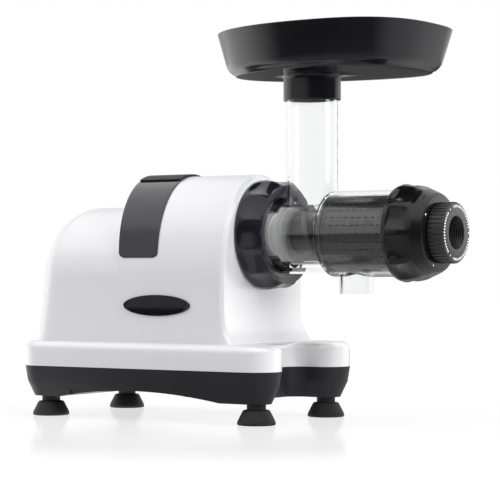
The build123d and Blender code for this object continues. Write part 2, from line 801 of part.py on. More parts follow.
def make_hopper():
    def outline(inset):
        """Egg-shaped plan: half an ellipse to the rear, a squarer half to the front."""
        points = []
        steps = 10
        for i in range(4 * steps):
            turn = math.pi * i / (2 * steps)
            c, s = math.cos(turn), math.sin(turn)
            squareness = 2.75 if c > 0 else 2.0
            reach = (hopper_front_reach if c > 0 else hopper_rear_reach) - inset
            x = math.copysign(abs(c)**(2 / squareness), c) * reach
            y = math.copysign(abs(s)**(2 / squareness), s) * (hopper_half_width - inset)
            points.append((hopper_waist_x + x, y))
        return make_face(Spline(*points, periodic=True))

    def bowl(inset, top_z, floor_z):
        bend_z = floor_z + (hopper_side_z - floor_z) / 3
        levels = [
            (floor_z, hopper_foot), (bend_z, hopper_bend), (hopper_side_z, hopper_slope), (top_z, 0),
        ]
        rings = [Pos(0, 0, z) * outline(inset + extra) for z, extra in levels]
        return joined([loft(list(pair), ruled=True) for pair in zip(rings, rings[1:])])

    outside = bowl(0, hopper_rim_z, hopper_floor_z)
    tray = outside - bowl(hopper_wall, hopper_rim_z + 0.001, hopper_floor_z + hopper_wall)
    tube = Pos(tube_x, 0, sleeve_low_z)
    bore_length = tube_length + 2 * turn_gap
    bore_width = tube_width + 2 * turn_gap
    sleeve_height = hopper_floor_z - sleeve_low_z
    around_tube = tube * oval(bore_length + 2 * sleeve_wall, bore_width + 2 * sleeve_wall)
    sleeve = extrude(around_tube, sleeve_height + 1)
    sleeve -= Pos(0, 0, -1) * extrude(tube * oval(bore_length, bore_width), sleeve_height + 1)
    mouth = Pos(tube_x, 0, sleeve_low_z - 1) * oval(tube_length - 2 * tube_wall, tube_width - 2 * tube_wall)
    return tray + sleeve - extrude(mouth, hopper_rim_z - sleeve_low_z)


# ---- gears ------------------------------------------------------------------------------
def involute(angle):
    return math.tan(angle) - angle


def gear_face(module, teeth, tooth_at, bore):
    """Spur gear in Y and Z, with the middle of one tooth at the angle tooth_at in degrees."""
    pressure = math.radians(pressure_angle)
    pitch_radius = module * teeth / 2
    base_radius = pitch_radius * math.cos(pressure)
    root = pitch_radius - dedendum * module
    tip = pitch_radius + addendum * module
    half_pitch = (math.pi * module / 2 - backlash / 2) / (2 * pitch_radius)

    def half_angle(radius):
        at = math.acos(min(1, base_radius / radius))
        return half_pitch + involute(pressure) - involute(at)

    flank = [max(base_radius, root), (max(base_radius, root) + pitch_radius) / 2, pitch_radius, tip]
    points = []
    for i in range(teeth):
        middle = math.radians(tooth_at) + 2 * math.pi * i / teeth
        rise = [(r, middle - half_angle(r)) for r in flank]
        fall = [(r, middle + half_angle(r)) for r in reversed(flank)]
        if root < base_radius:
            rise.insert(0, (root, rise[0][1]))
            fall.append((root, fall[-1][1]))
        points += [(r * math.cos(a), r * math.sin(a)) for r, a in rise + fall]
    return make_face(Polyline(*points, close=True)) - Circle(bore)


def gear(module, teeth, tooth_at, bore, x0, thick, y, z):
    return Pos(0, y, z) * along_x(gear_face(module, teeth, tooth_at, bore), x0, x0 + thick)


first_line = math.degrees(math.atan2(layshaft_z - motor_z, layshaft_y))
second_line = math.degrees(math.atan2(axis_z - layshaft_z, -layshaft_y))


def make_motor_pinion():
    return gear(first_module, pinion_teeth, first_line, motor_shaft_radius - 1 + fit_gap,
                first_gear_x - 2, first_gear_thick + 4, 0, motor_z)


def make_first_gear():
    tooth_at = first_line + 180 + 180 / first_gear_teeth
    wheel = gear(first_module, first_gear_teeth, tooth_at, layshaft_radius + fit_gap,
                 first_gear_x, first_gear_thick, layshaft_y, layshaft_z)
    for x in (first_gear_x - 1, first_gear_x + first_gear_thick - 2):
        wheel -= ring(x, x + 3, first_gear_radius - 5, 12, layshaft_y, layshaft_z)
    return wheel


def make_second_pinion():
    return gear(second_module, second_pinion_teeth, second_line, layshaft_radius + fit_gap,
                output_gear_x - 1, output_gear_thick + 2, layshaft_y, layshaft_z)


def make_output_gear():
    tooth_at = second_line + 180 + 180 / output_teeth
    wheel = gear(second_module, output_teeth, tooth_at, output_shaft_radius + fit_gap,
                 output_gear_x, output_gear_thick, 0, axis_z)
    for x in (output_gear_x - 1, output_gear_x + output_gear_thick - 3):
        wheel -= ring(x, x + 4, output_gear_radius - 6, output_shaft_radius + 6)
    return wheel


# ---- gearbox ----------------------------------------------------------------------------
rear_wall_front_x = gearbox_rear_x + gearbox_wall


def gearbox_outline(extra):
    """Hull around the gears, drawn in Y and Z."""
    big = Pos(0, axis_z) * Circle(output_gear_radius + gear_room + extra)
    small = Pos(layshaft_y, layshaft_z) * Circle(first_gear_radius + gear_room + extra)
    low = Pos(0, motor_z) * Circle(motor_bearing + gear_room + extra)
    return make_hull(big.edges() + small.edges() + low.edges())


gearbox_screw_places = [
    (-38.0, axis_z + 26.0), (38.0, axis_z + 26.0), (-34.0, motor_z + 26.0), (34.0, motor_z - 8.0),
]


def lug_faces():
    return [Pos(y, z) * Circle(screw_lug_radius) for y, z in gearbox_screw_places]


def make_gearbox_housing():
    wall = gearbox_outline(gearbox_wall)
    outer = along_x(joined([wall] + lug_faces()), gearbox_rear_x, gearbox_front_x)
    behind_lugs = joined([
        rod(gearbox_rear_x - 1, gearbox_front_x - screw_lug_length, screw_lug_radius + 0.6, y, z)
        for y, z in gearbox_screw_places
    ])
    outer -= behind_lugs - along_x(wall, gearbox_rear_x - 2, gearbox_front_x)
    room = along_x(gearbox_outline(0), rear_wall_front_x, gearbox_front_x + 1)
    legs = box(gearbox_rear_x, gearbox_front_x - 20, -16, 16, chassis_z + chassis_thick, motor_z - 8)
    case = outer + legs - room
    bearing_back = gearbox_rear_x - 1
    seat_end = rear_wall_front_x + bearing_width - gearbox_wall + 1
    for y, z, outer_radius in (
        (layshaft_y, layshaft_z, layshaft_bearing), (0, axis_z, output_bearing),
    ):
        case += ring(rear_wall_front_x - 1, seat_end, outer_radius + 2.5, outer_radius, y, z)
        case -= rod(bearing_back + 1 + 1, seat_end + 1, outer_radius + fit_gap, y, z)
    case -= rod(bearing_back, rear_wall_front_x + 1, motor_shaft_radius + 2, 0, motor_z)
    for y, z in gearbox_screw_places:
        case -= rod(gearbox_front_x - 8, gearbox_front_x + 1, m3 + fit_gap, y, z)
    return case


def make_gearbox_cover():
    plate = along_x(joined([gearbox_outline(gearbox_wall)] + lug_faces()), gearbox_front_x, front_plate_x)
    plate -= rod(gearbox_front_x - 1, gearbox_front_x + 5, layshaft_bearing + fit_gap, layshaft_y, layshaft_z)
    plate -= rod(gearbox_front_x - 1, front_plate_x + 1, output_bearing + fit_gap)
    for y, z in gearbox_screw_places:
        plate -= rod(gearbox_front_x - 1, front_plate_x + 1, m3 + fit_gap, y, z)
    for place in socket_screw_places():
        plate -= place * rod(gearbox_front_x + 2, front_plate_x + 1, m3 + fit_gap, 0, 0)
    return plate


def make_gearbox_screws():
    one = Rot(0, -90, 0) * screw(m3_head, 0.9, m3, front_plate_thick + 7)
    return Compound([Pos(front_plate_x, y, z) * one for y, z in gearbox_screw_places])


def bearing(x0, outer, inner, y, z):
    """Bearing with its race groove, one solid."""
    groove = (outer - inner) / 4
    middle = (outer + inner) / 2
    body = ring(x0, x0 + bearing_width, outer, inner + running_gap, y, z)
    return body - ring(x0 - 1, x0 + 0.8, middle + groove / 2, middle - groove / 2, y, z)


def make_layshaft_bearings():
    rear = bearing(gearbox_rear_x + 1, layshaft_bearing, layshaft_radius, layshaft_y, layshaft_z)
    front = bearing(gearbox_front_x - 1, layshaft_bearing, layshaft_radius, layshaft_y, layshaft_z)
    return Compound([rear.solids()[0], front.solids()[0]])


def make_output_bearings():
    rear = bearing(gearbox_rear_x + 1, output_bearing, output_shaft_radius, 0, axis_z)
    front = bearing(gearbox_front_x, output_bearing, output_shaft_radius, 0, axis_z)
    return Compound([rear.solids()[0], front.solids()[0]])


def make_layshaft():
    return rod(gearbox_rear_x + 1.5, gearbox_front_x + 4.5, layshaft_radius, layshaft_y, layshaft_z)


def make_output_shaft():
    shaft = rod(gearbox_rear_x + 1.5, front_plate_x + 3, output_shaft_radius)
    return shaft - hexagon(front_plate_x - 9, front_plate_x + 4, hex_width + 2 * fit_gap)


def make_output_seal():
    outer_radius = output_shaft_radius + 3 - fit_gap
    return ring(front_plate_x, front_plate_x + 4, outer_radius, output_shaft_radius + turn_gap)


# ---- motor ------------------------------------------------------------------------------
motor_rear_x = stator_rear_x - bracket_reach
motor_front_x = stator_front_x + bracket_reach


def motor_square(x0, x1, corner):
    face = Pos(0, motor_z) * RectangleRounded(stator_side, stator_side, corner)
    return along_x(face, x0, x1)


def corner_bolts(x0, x1, radius):
    off = motor_bolt_offset
    return [rod(x0, x1, radius, y, motor_z + z) for y in (-off, off) for z in (-off, off)]


def make_stator():
    core = motor_square(stator_rear_x, stator_front_x, 8)
    core -= rod(stator_rear_x - 1, stator_front_x + 1, stator_bore, 0, motor_z)
    for angle in around(24):
        slot = rod(stator_rear_x - 1, stator_front_x + 1, 2.0, stator_bore + 4, 0)
        core -= about_axis(angle, motor_z) * slot
    return core - joined(corner_bolts(stator_rear_x - 1, stator_front_x + 1, motor_bolt_radius + fit_gap))


def make_windings():
    """Coil heads at both ends of the stator."""
    rear = ring(stator_rear_x - winding_reach, stator_rear_x, winding_outer, winding_inner, 0, motor_z)
    front = ring(stator_front_x, stator_front_x + winding_reach, winding_outer, winding_inner, 0, motor_z)
    heads = [fillet(part.edges().filter_by(GeomType.CIRCLE), 3) for part in (rear, front)]
    return Compound([head.solids()[0] for head in heads])


def make_rotor():
    core = rod(stator_rear_x, stator_front_x, stator_bore - rotor_gap, 0, motor_z)
    end_rings = rod(stator_rear_x - 5, stator_front_x + 5, stator_bore - 3, 0, motor_z)
    bore = rod(stator_rear_x - 9, stator_front_x + 9, motor_shaft_radius + fit_gap, 0, motor_z)
    return core + end_rings - bore


def make_motor_shaft():
    thick = rod(motor_rear_x - 16, motor_front_x + 8, motor_shaft_radius, 0, motor_z)
    thin = rod(motor_front_x + 7, first_gear_x + first_gear_thick + 2, motor_shaft_radius - 1, 0, motor_z)
    return thick + thin


def make_motor_bracket(side):
    """End shield: square flange on the stator, a cup over the coil head and a bearing seat."""
    face_x = stator_front_x if side > 0 else stator_rear_x
    end_x = face_x + side * bracket_reach
    seat_x = end_x - side * (bearing_width + 1)

    def disc(x0, x1, radius):
        return rod(min(x0, x1), max(x0, x1), radius, 0, motor_z)

    flange_x = sorted((face_x, face_x + side * bracket_flange))
    bracket = motor_square(*flange_x, 8) + disc(face_x, end_x, bracket_radius)
    bracket -= disc(face_x - side, end_x - side * bracket_wall, bracket_radius - bracket_wall)
    bracket += disc(seat_x, end_x, motor_bearing + 2)
    bracket -= disc(seat_x - side, end_x - side, motor_bearing + fit_gap)
    bracket -= disc(end_x - 3, end_x + 3, motor_shaft_radius + 1.5)
    for angle in around(8, 22.5):
        bracket -= about_axis(angle, motor_z) * rod(end_x - 5, end_x + 5, 4.5, 26, 0)
    bracket += box(*flange_x, -30, 30, chassis_z + chassis_thick, motor_z - stator_side / 2 + 2)
    for bolt in corner_bolts(face_x - 6, face_x + 6, motor_bolt_radius + fit_gap):
        bracket -= bolt
    return bracket


def make_motor_bearings():
    rear = bearing(motor_rear_x + 1, motor_bearing, motor_shaft_radius, 0, motor_z)
    front = bearing(motor_front_x - 1 - bearing_width, motor_bearing, motor_shaft_radius, 0, motor_z)
    return Compound([rear.solids()[0], front.solids()[0]])


def make_motor_bolts():
    start = stator_rear_x - bracket_flange
    end = stator_front_x + bracket_flange
    bolts = []
    for y in (-motor_bolt_offset, motor_bolt_offset):
        for z in (-motor_bolt_offset, motor_bolt_offset):
            shank = rod(start, end + 3, motor_bolt_radius, y, motor_z + z)
            head = rod(start - m4_head_height, start, m4_head, y, motor_z + z)
            nut = rod(end, end + 3, m4_head, y, motor_z + z)
            bolts.append((shank + head + nut).solids()[0])
    return Compound(bolts)


def make_motor_fan():
    hub_x = motor_rear_x - 14
    end_x = hub_x + fan_width
    hub = rod(hub_x, end_x, fan_hub_radius, 0, motor_z)
    disc = rod(end_x - fan_disc, end_x, fan_radius, 0, motor_z)
    blade = box(hub_x, end_x - 1, fan_hub_radius - 1, fan_radius, -fan_blade / 2, fan_blade / 2)
    blades = [about_axis(angle, motor_z) * blade for angle in around(fan_blades)]
    fan = joined([hub, disc] + blades)
    return fan - rod(hub_x - 1, end_x + 1, motor_shaft_radius + fit_gap, 0, motor_z)


def make_chassis_plate():
    plate = box(chassis_rear_x, chassis_front_x, -chassis_half_width, chassis_half_width,
                chassis_z, chassis_z + chassis_thick)
    for x, y in chassis_screw_places:
        plate -= post(x, y, chassis_z - 1, chassis_z + chassis_thick + 1, m4 + fit_gap)
    return plate


# ---- electrics --------------------------------------------------------------------------
def make_switch_housing():
    """Local frame: X across, Y up, Z out of the rear wall."""
    body_width, body_height = switch_body
    open_width, open_height = switch_opening
    flange = Pos(0, 0, 0.75) * Box(switch_width, switch_height, 1.5)
    case = Pos(0, 0, -switch_depth / 2) * Box(body_width, body_height, switch_depth)
    room = Pos(0, 0, (2.5 - switch_depth) / 2) * Box(open_width, open_height, switch_depth + 1.5)
    pin = Cylinder(rocker_pin + running_gap, body_width - 1.4)
    pin_hole = Pos(0, 0, -rocker_depth) * Rot(0, 90, 0) * pin
    return rear_wall_place(0, switch_z) * (flange + case - room - pin_hole)


def make_switch_rocker():
    width = switch_opening[0] - 2 * turn_gap
    drum = Rot(0, 90, 0) * Cylinder(rocker_radius, width)
    keep = Pos(0, 0, rocker_radius / 2 - 2) * Box(width + 1, 3 * rocker_radius, rocker_radius)
    dish_radius = rocker_radius * 2.2
    dish = Pos(0, 0, rocker_depth + 2.4 + dish_radius) * Rot(0, 90, 0) * Cylinder(dish_radius, width + 2)
    pins = Rot(0, 90, 0) * Cylinder(rocker_pin, switch_body[0] - 2)
    return rear_wall_place(0, switch_z) * Pos(0, 0, -rocker_depth) * ((drum & keep) - dish + pins)


def make_power_inlet():
    """Strain relief bush where the power lead enters."""
    flange = Pos(0, 0, 1) * Cylinder(inlet_radius + 2.5, 2)
    barrel = Pos(0, 0, -5) * Cylinder(inlet_radius, 10)
    wall = body_wall / math.cos(math.radians(rear_lean_angle))
    nut = Pos(0, 0, -wall - 2.5) * Cylinder(inlet_radius + 2.5, 4)
    bush = flange + barrel + nut - Cylinder(lead_radius, 40)
    return rear_wall_place(inlet_y, inlet_z) * bush


def make_capacitor():
    """Motor run capacitor, lying on the motor."""
    top_z = motor_z + stator_side / 2
    can_z = top_z + capacitor_radius + 2
    can = rod(stator_rear_x + 2, stator_front_x - 2, capacitor_radius, capacitor_y, can_z)
    saddle = box(
        stator_rear_x + 10, stator_front_x - 10,
        capacitor_y - saddle_half, capacitor_y + saddle_half, top_z, top_z + saddle_height,
    )
    return can + saddle


def make_terminal_block():
    top_z = motor_z + stator_side / 2
    start = stator_rear_x + 6
    length = terminal_count * terminal_pitch
    block = box(start, start + length, terminal_block_y - 8, terminal_block_y + 8, top_z, top_z + 10)
    for i in range(terminal_count):
        block -= post(start + (i + 0.5) * terminal_pitch, terminal_block_y, top_z + 5, top_z + 11, 2.4)
    return block


# ---- write every piece ------------------------------------------------------------------
pieces = {
    "base_tray": make_base_tray,
    "base_band": make_base_band,
    "foot_screws": make_foot_screws,
    "base_screws": make_shell_screws,
    "housing_shell": make_housing_shell,
    "front_cover": make_front_cover,
    "grip_band": make_grip_band,
    "badge_plate": make_badge,
    "drum_socket": make_drum_socket,
    "socket_screws": make_socket_screws,
    "locking_collar": make_locking_collar,
    "juicing_drum": make_drum,
    "drum_seal": make_drum_seal,
    "auger": make_auger,
    "auger_sleeve": make_auger_sleeve,
    "auger_drive": make_auger_drive,
    "juicing_screen": make_screen,
    "end_cap": make_end_cap,
    "cap_seal": make_cap_seal,
    "dial": make_dial,
    "dial_marks": make_dial_marks,
    "cap_marks": make_cap_marks,
    "pulp_nozzle": make_nozzle,
    "hopper_tray": make_hopper,
    "motor_pinion": make_motor_pinion,
    "first_gear": make_first_gear,
    "second_pinion": make_second_pinion,
    "output_gear": make_output_gear,
    "gearbox_housing": make_gearbox_housing,
    "gearbox_cover": make_gearbox_cover,
    "gearbox_screws": make_gearbox_screws,
    "layshaft": make_layshaft,
    "layshaft_bearings": make_layshaft_bearings,
    "output_shaft": make_output_shaft,
    "output_bearings": make_output_bearings,
    "output_seal": make_output_seal,
    "motor_stator": make_stator,
    "motor_windings": make_windings,
    "motor_rotor": make_rotor,
    "motor_shaft": make_motor_shaft,
    "motor_bearings": make_motor_bearings,
    "motor_bolts": make_motor_bolts,
    "motor_fan": make_motor_fan,
    "chassis_plate": make_chassis_plate,
    "switch_housing": make_switch_housing,
    "switch_rocker": make_switch_rocker,
    "power_inlet": make_power_inlet,
    "capacitor": make_capacitor,
    "terminal_block": make_terminal_block,
}

os.makedirs("parts", exist_ok=True)
for name, make in pieces.items():
    export_step(make(), f"parts/{name}.step")
for side, end in ((-1, "rear"), (1, "front")):
    export_step(make_motor_bracket(side), f"parts/motor_bracket_{end}.step")
for corner, (x, y) in feet_places.items():
    export_step(make_foot(x, y), f"parts/foot_{corner}.step")
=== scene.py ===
import json
from math import asin, atan2, cos, exp, pi, radians, sin, sqrt, tan, tau

import bmesh
import bpy
from mathutils import Matrix, Vector

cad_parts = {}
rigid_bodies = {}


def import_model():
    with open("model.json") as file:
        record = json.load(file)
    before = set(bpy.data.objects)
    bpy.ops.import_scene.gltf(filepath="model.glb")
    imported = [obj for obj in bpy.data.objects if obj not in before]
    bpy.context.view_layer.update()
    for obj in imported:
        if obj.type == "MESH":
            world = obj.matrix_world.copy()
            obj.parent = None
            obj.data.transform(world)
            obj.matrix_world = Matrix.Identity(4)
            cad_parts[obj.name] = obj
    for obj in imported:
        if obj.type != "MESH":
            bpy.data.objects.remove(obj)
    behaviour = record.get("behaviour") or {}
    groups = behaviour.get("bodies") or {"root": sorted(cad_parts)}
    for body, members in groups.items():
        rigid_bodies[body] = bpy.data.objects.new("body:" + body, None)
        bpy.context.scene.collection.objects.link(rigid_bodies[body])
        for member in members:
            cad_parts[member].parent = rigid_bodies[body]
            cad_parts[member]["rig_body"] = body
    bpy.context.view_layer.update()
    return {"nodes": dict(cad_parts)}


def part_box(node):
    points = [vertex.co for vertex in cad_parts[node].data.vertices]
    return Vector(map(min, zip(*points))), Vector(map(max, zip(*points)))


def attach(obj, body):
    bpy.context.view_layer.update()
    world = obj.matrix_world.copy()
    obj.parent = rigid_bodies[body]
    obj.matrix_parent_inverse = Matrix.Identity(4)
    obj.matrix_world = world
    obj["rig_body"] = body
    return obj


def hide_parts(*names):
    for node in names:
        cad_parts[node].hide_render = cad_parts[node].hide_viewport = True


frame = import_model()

mm = 0.001
scene = bpy.context.scene


# lowest and highest corner of a CAD node, in millimetres
def corners(node):
    low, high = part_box(node)
    return Vector(low) / mm, Vector(high) / mm


shellLow, shellHigh = corners("housing_shell")
coverHigh = corners("front_cover")[1]
collarLow, collarHigh = corners("locking_collar")
capLow, capHigh = corners("end_cap")
dialLow, dialHigh = corners("dial")
hopperLow, hopperHigh = corners("hopper_tray")
screenLow, screenHigh = corners("juicing_screen")
augerLow, augerHigh = corners("auger")
axisZ = sum(v.z for v in corners("output_shaft")) / 2


cameraView = {
    "place": (966.0, -1503.0, 136.0),    # mm
    "turn": 32.75,                       # degrees about the vertical
    "lens": 140.5,
    "shift": 0.04,
}


def makeCamera():
    data = bpy.data.cameras.new("viewCamera")
    data.lens = cameraView["lens"]
    data.sensor_width = 36
    data.shift_y = cameraView["shift"]
    data.clip_end = 50
    camera = bpy.data.objects.new("viewCamera", data)
    camera.location = Vector(cameraView["place"]) * mm
    camera.rotation_euler = (radians(90), 0, radians(cameraView["turn"]))
    scene.collection.objects.link(camera)
    scene.camera = camera


makeCamera()
print("camera ready")


# one link that is 1 for rays of any of the given kinds
def lightPath(nodes, links, *kinds):
    path = nodes.new("ShaderNodeLightPath")
    total = path.outputs[kinds[0]]
    for kind in kinds[1:]:
        either = nodes.new("ShaderNodeMath")
        either.operation = "MAXIMUM"
        links.new(total, either.inputs[0])
        links.new(path.outputs[kind], either.inputs[1])
        total = either.outputs[0]
    return total


def mixShaders(nodes, links, factor, first, second):
    mix = nodes.new("ShaderNodeMixShader")
    links.new(factor, mix.inputs["Fac"])
    links.new(first, mix.inputs[1])
    links.new(second, mix.inputs[2])
    return mix.outputs[0]


def rangeNode(nodes, links, value, start, end, low=0.0, high=1.0):
    node = nodes.new("ShaderNodeMapRange")
    for label, number in (("From Min", start), ("From Max", end), ("To Min", low), ("To Max", high)):
        node.inputs[label].default_value = number
    links.new(value, node.inputs["Value"])
    return node.outputs["Result"]


# one moulded or painted finish: colour, tone drift, roughness drift and a fine grain
def makeFinish(name, colour, roughness, drift=0.06, driftScale=9.0, grain=0.0, grainScale=1600.0,
               wear=0.05, **settings):
    material = bpy.data.materials.new(name)
    material.use_nodes = True
    nodes, links = material.node_tree.nodes, material.node_tree.links
    shader = nodes["Principled BSDF"]
    coords = nodes.new("ShaderNodeTexCoord")
    tone = nodes.new("ShaderNodeTexNoise")
    tone.inputs["Scale"].default_value = driftScale
    tone.inputs["Detail"].default_value = 3
    links.new(coords.outputs["Object"], tone.inputs["Vector"])
    shades = nodes.new("ShaderNodeValToRGB")
    shades.color_ramp.elements[0].position = 0.3
    shades.color_ramp.elements[1].position = 0.7
    for element, level in zip(shades.color_ramp.elements, (1 - drift, 1 + drift)):
        element.color = (*[min(1, c * level) for c in colour], 1)
    links.new(tone.outputs["Fac"], shades.inputs["Fac"])
    links.new(shades.outputs["Color"], shader.inputs["Base Color"])
    rub = nodes.new("ShaderNodeTexNoise")
    rub.inputs["Scale"].default_value = 60
    rub.inputs["Detail"].default_value = 4
    links.new(coords.outputs["Object"], rub.inputs["Vector"])
    spread = nodes.new("ShaderNodeMapRange")
    spread.inputs["To Min"].default_value = max(0.02, roughness - wear)
    spread.inputs["To Max"].default_value = min(1, roughness + wear)
    links.new(rub.outputs["Fac"], spread.inputs["Value"])
    links.new(spread.outputs["Result"], shader.inputs["Roughness"])
    if grain:
        skin = nodes.new("ShaderNodeTexNoise")
        skin.inputs["Scale"].default_value = grainScale
        skin.inputs["Detail"].default_value = 2
        links.new(coords.outputs["Object"], skin.inputs["Vector"])
        bump = nodes.new("ShaderNodeBump")
        bump.inputs["Strength"].default_value = 1.0
        bump.inputs["Distance"].default_value = grain * mm
        links.new(skin.outputs["Fac"], bump.inputs["Height"])
        links.new(bump.outputs["Normal"], shader.inputs["Normal"])
    for socket, value in settings.items():
        shader.inputs[socket.replace("_", " ")].default_value = value
    return material


pearlPaint = makeFinish("pearlPaint", (0.80, 0.80, 0.815), 0.34, drift=0.012, grain=0.002, grainScale=2600,
                        Metallic=0.25, Coat_Weight=0.3, Coat_Roughness=0.12)
gripRubber = makeFinish("gripRubber", (0.012, 0.011, 0.011), 0.6, grain=0.004)
milkyNylon = makeFinish("milkyNylon", (0.96, 0.96, 0.96), 0.35, drift=0.1, driftScale=30.0, grain=0.002)
charcoal = makeFinish("charcoalBase", (0.017, 0.017, 0.021), 0.46, grain=0.006, grainScale=1800,
                      Specular_IOR_Level=0.3)
gripGloss = makeFinish("gripGloss", (0.018, 0.018, 0.023), 0.16, Coat_Weight=0.5, Coat_Roughness=0.08)
inkPlastic = makeFinish("inkPlastic", (0.009, 0.009, 0.014), 0.13, drift=0.1, wear=0.03)
capPlastic = makeFinish("capPlastic", (0.005, 0.005, 0.0055), 0.2, drift=0.1, grain=0.001)
dialPlastic = makeFinish("dialPlastic", (0.028, 0.028, 0.029), 0.30, grain=0.003)
hopperPlastic = makeFinish("hopperPlastic", (0.006, 0.006, 0.008), 0.17, drift=0.08, wear=0.03)
badgeGloss = makeFinish("badgeGloss", (0.006, 0.006, 0.008), 0.10, wear=0.02, Coat_Weight=0.15,
                        Specular_IOR_Level=0.3)
footRubber = makeFinish("footRubber", (0.012, 0.011, 0.011), 0.62, drift=0.15, grain=0.01, grainScale=1200)
augerPlastic = makeFinish("augerPlastic", (0.030, 0.030, 0.033), 0.38, grain=0.003)
screenPlastic = makeFinish("screenPlastic", (0.022, 0.022, 0.024), 0.45, grain=0.003)
markWhite = makeFinish("markWhite", (0.85, 0.85, 0.85), 0.45, drift=0.02)
siliconeSeal = makeFinish("siliconeSeal", (0.30, 0.30, 0.31), 0.55, grain=0.003)
brightSteel = makeFinish("brightSteel", (0.55, 0.55, 0.56), 0.24, Metallic=1.0)
screwSteel = makeFinish("screwSteel", (0.46, 0.46, 0.47), 0.33, Metallic=1.0)
castAluminium = makeFinish("castAluminium", (0.48, 0.48, 0.49), 0.52, grain=0.02, grainScale=900,
                           Metallic=1.0)
laminatedSteel = makeFinish("laminatedSteel", (0.20, 0.20, 0.21), 0.45, Metallic=1.0)
copperWire = makeFinish("copperWire", (0.62, 0.26, 0.12), 0.38, drift=0.2, driftScale=160, grain=0.05,
                        grainScale=1300, Metallic=1.0)
nylonGear = makeFinish("nylonGear", (0.62, 0.60, 0.54), 0.42, grain=0.004)
switchPlastic = makeFinish("switchPlastic", (0.014, 0.014, 0.015), 0.30, grain=0.003)
terminalPlastic = makeFinish("terminalPlastic", (0.50, 0.49, 0.44), 0.5)
capacitorCan = makeFinish("capacitorCan", (0.60, 0.60, 0.61), 0.3, Metallic=0.9)
clearPlastic = makeFinish("clearPlastic", (0.965, 0.967, 0.97), 0.035, drift=0.004, wear=0.015,
                          Transmission_Weight=1.0, IOR=1.45)


# lamps and the light of the room reach what a clear part holds
def letLightIn(material, tint):
    nodes, links = material.node_tree.nodes, material.node_tree.links
    gap = nodes.new("ShaderNodeBsdfTransparent")
    gap.inputs["Color"].default_value = (tint, tint, tint, 1)
    passing = lightPath(nodes, links, "Is Shadow Ray", "Is Diffuse Ray")
    surface = mixShaders(nodes, links, passing, nodes["Principled BSDF"].outputs[0], gap.outputs[0])
    links.new(surface, nodes["Material Output"].inputs["Surface"])


letLightIn(clearPlastic, 0.99)
print("materials ready")


# a piece from points in millimetres; an open skin gets a wall afterwards
def addPiece(name, points, faces, material, crease=35.0, recalc=True):
    mesh = bpy.data.meshes.new(name)
    mesh.from_pydata([Vector(p) * mm for p in points], [], faces)
    work = bmesh.new()
    work.from_mesh(mesh)
    bmesh.ops.remove_doubles(work, verts=work.verts, dist=1e-6)
    bmesh.ops.dissolve_degenerate(work, edges=work.edges, dist=1e-6)
    if recalc:
        bmesh.ops.recalc_face_normals(work, faces=work.faces)
    work.to_mesh(mesh)
    work.free()
    mesh.materials.append(material)
    piece = bpy.data.objects.new(name, mesh)
    scene.collection.objects.link(piece)
    softenMesh(mesh, crease)
    return piece


def softenMesh(mesh, crease):
    mesh.shade_smooth()
    mesh.set_sharp_from_angle(angle=radians(crease))


# quads over a grid of points, row by row
def gridFaces(rows, columns, wrapColumns=False, wrapRows=False, first=0):
    faces = []
    for i in range(rows if wrapRows else rows - 1):
        for j in range(columns if wrapColumns else columns - 1):
            a = first + i * columns + j
            b = first + i * columns + (j + 1) % columns
            c = first + ((i + 1) % rows) * columns + (j + 1) % columns
            d = first + ((i + 1) % rows) * columns + j
            faces.append((a, b, c, d))
    return faces


# modifiers are made real so that a finished piece is a plain mesh
def settle(piece, crease=35.0):
    depsgraph = bpy.context.evaluated_depsgraph_get()
    mesh = bpy.data.meshes.new_from_object(piece.evaluated_get(depsgraph), depsgraph=depsgraph)
    piece.modifiers.clear()
    piece.data = mesh
    softenMesh(mesh, crease)
    return piece


def addWall(piece, thickness, outward=False, crease=35.0):
    wall = piece.modifiers.new("wall", "SOLIDIFY")
    wall.thickness = thickness * mm
    wall.offset = 1 if outward else -1
    return settle(piece, crease)


def addBevel(piece, width, segments=2, limit=40.0, crease=35.0):
    bevel = piece.modifiers.new("edges", "BEVEL")
    bevel.width = width * mm
    bevel.segments = segments
    bevel.limit_method = "ANGLE"
    bevel.angle_limit = radians(limit)
    bevel.harden_normals = False
    return settle(piece, crease)


# attaches a piece to the body it moves with and hides the CAD nodes it stands for
def place(piece, body, slotName, *nodes):
    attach(piece, body)
    if nodes:
        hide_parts(*nodes)
    return piece


# a CAD node's shape with its triangles joined and its curves shaded round
def roundedCopy(node, name, material, slotName, crease=28.0):
    mesh = frame["nodes"][node].data.copy()
    mesh.name = name
    work = bmesh.new()
    work.from_mesh(mesh)
    bmesh.ops.remove_doubles(work, verts=work.verts, dist=2e-6)
    work.to_mesh(mesh)
    work.free()
    mesh.materials.clear()
    mesh.materials.append(material)
    for polygon in mesh.polygons:
        polygon.material_index = 0
    if mesh.has_custom_normals:      # they belong to the mesh as it was before the weld
        mesh.attributes.remove(mesh.attributes["custom_normal"])
    piece = bpy.data.objects.new(name, mesh)
    scene.collection.objects.link(piece)
    softenMesh(mesh, crease)
    body = frame["nodes"][node]["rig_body"]
    return place(piece, body, slotName, node)


# a solid of revolution about the drum axis from (x, radius) points
def turnedPiece(name, outline, material, steps=128, shape=None, crease=35.0):
    points = []
    for x, radius in outline:
        for j in range(steps):
            angle = tau * j / steps
            r = shape(x, radius, angle) if shape else radius
            points.append((x, r * cos(angle), axisZ + r * sin(angle)))
    faces = gridFaces(len(outline), steps, wrapColumns=True, wrapRows=True)
    return addPiece(name, points, faces, material, crease)


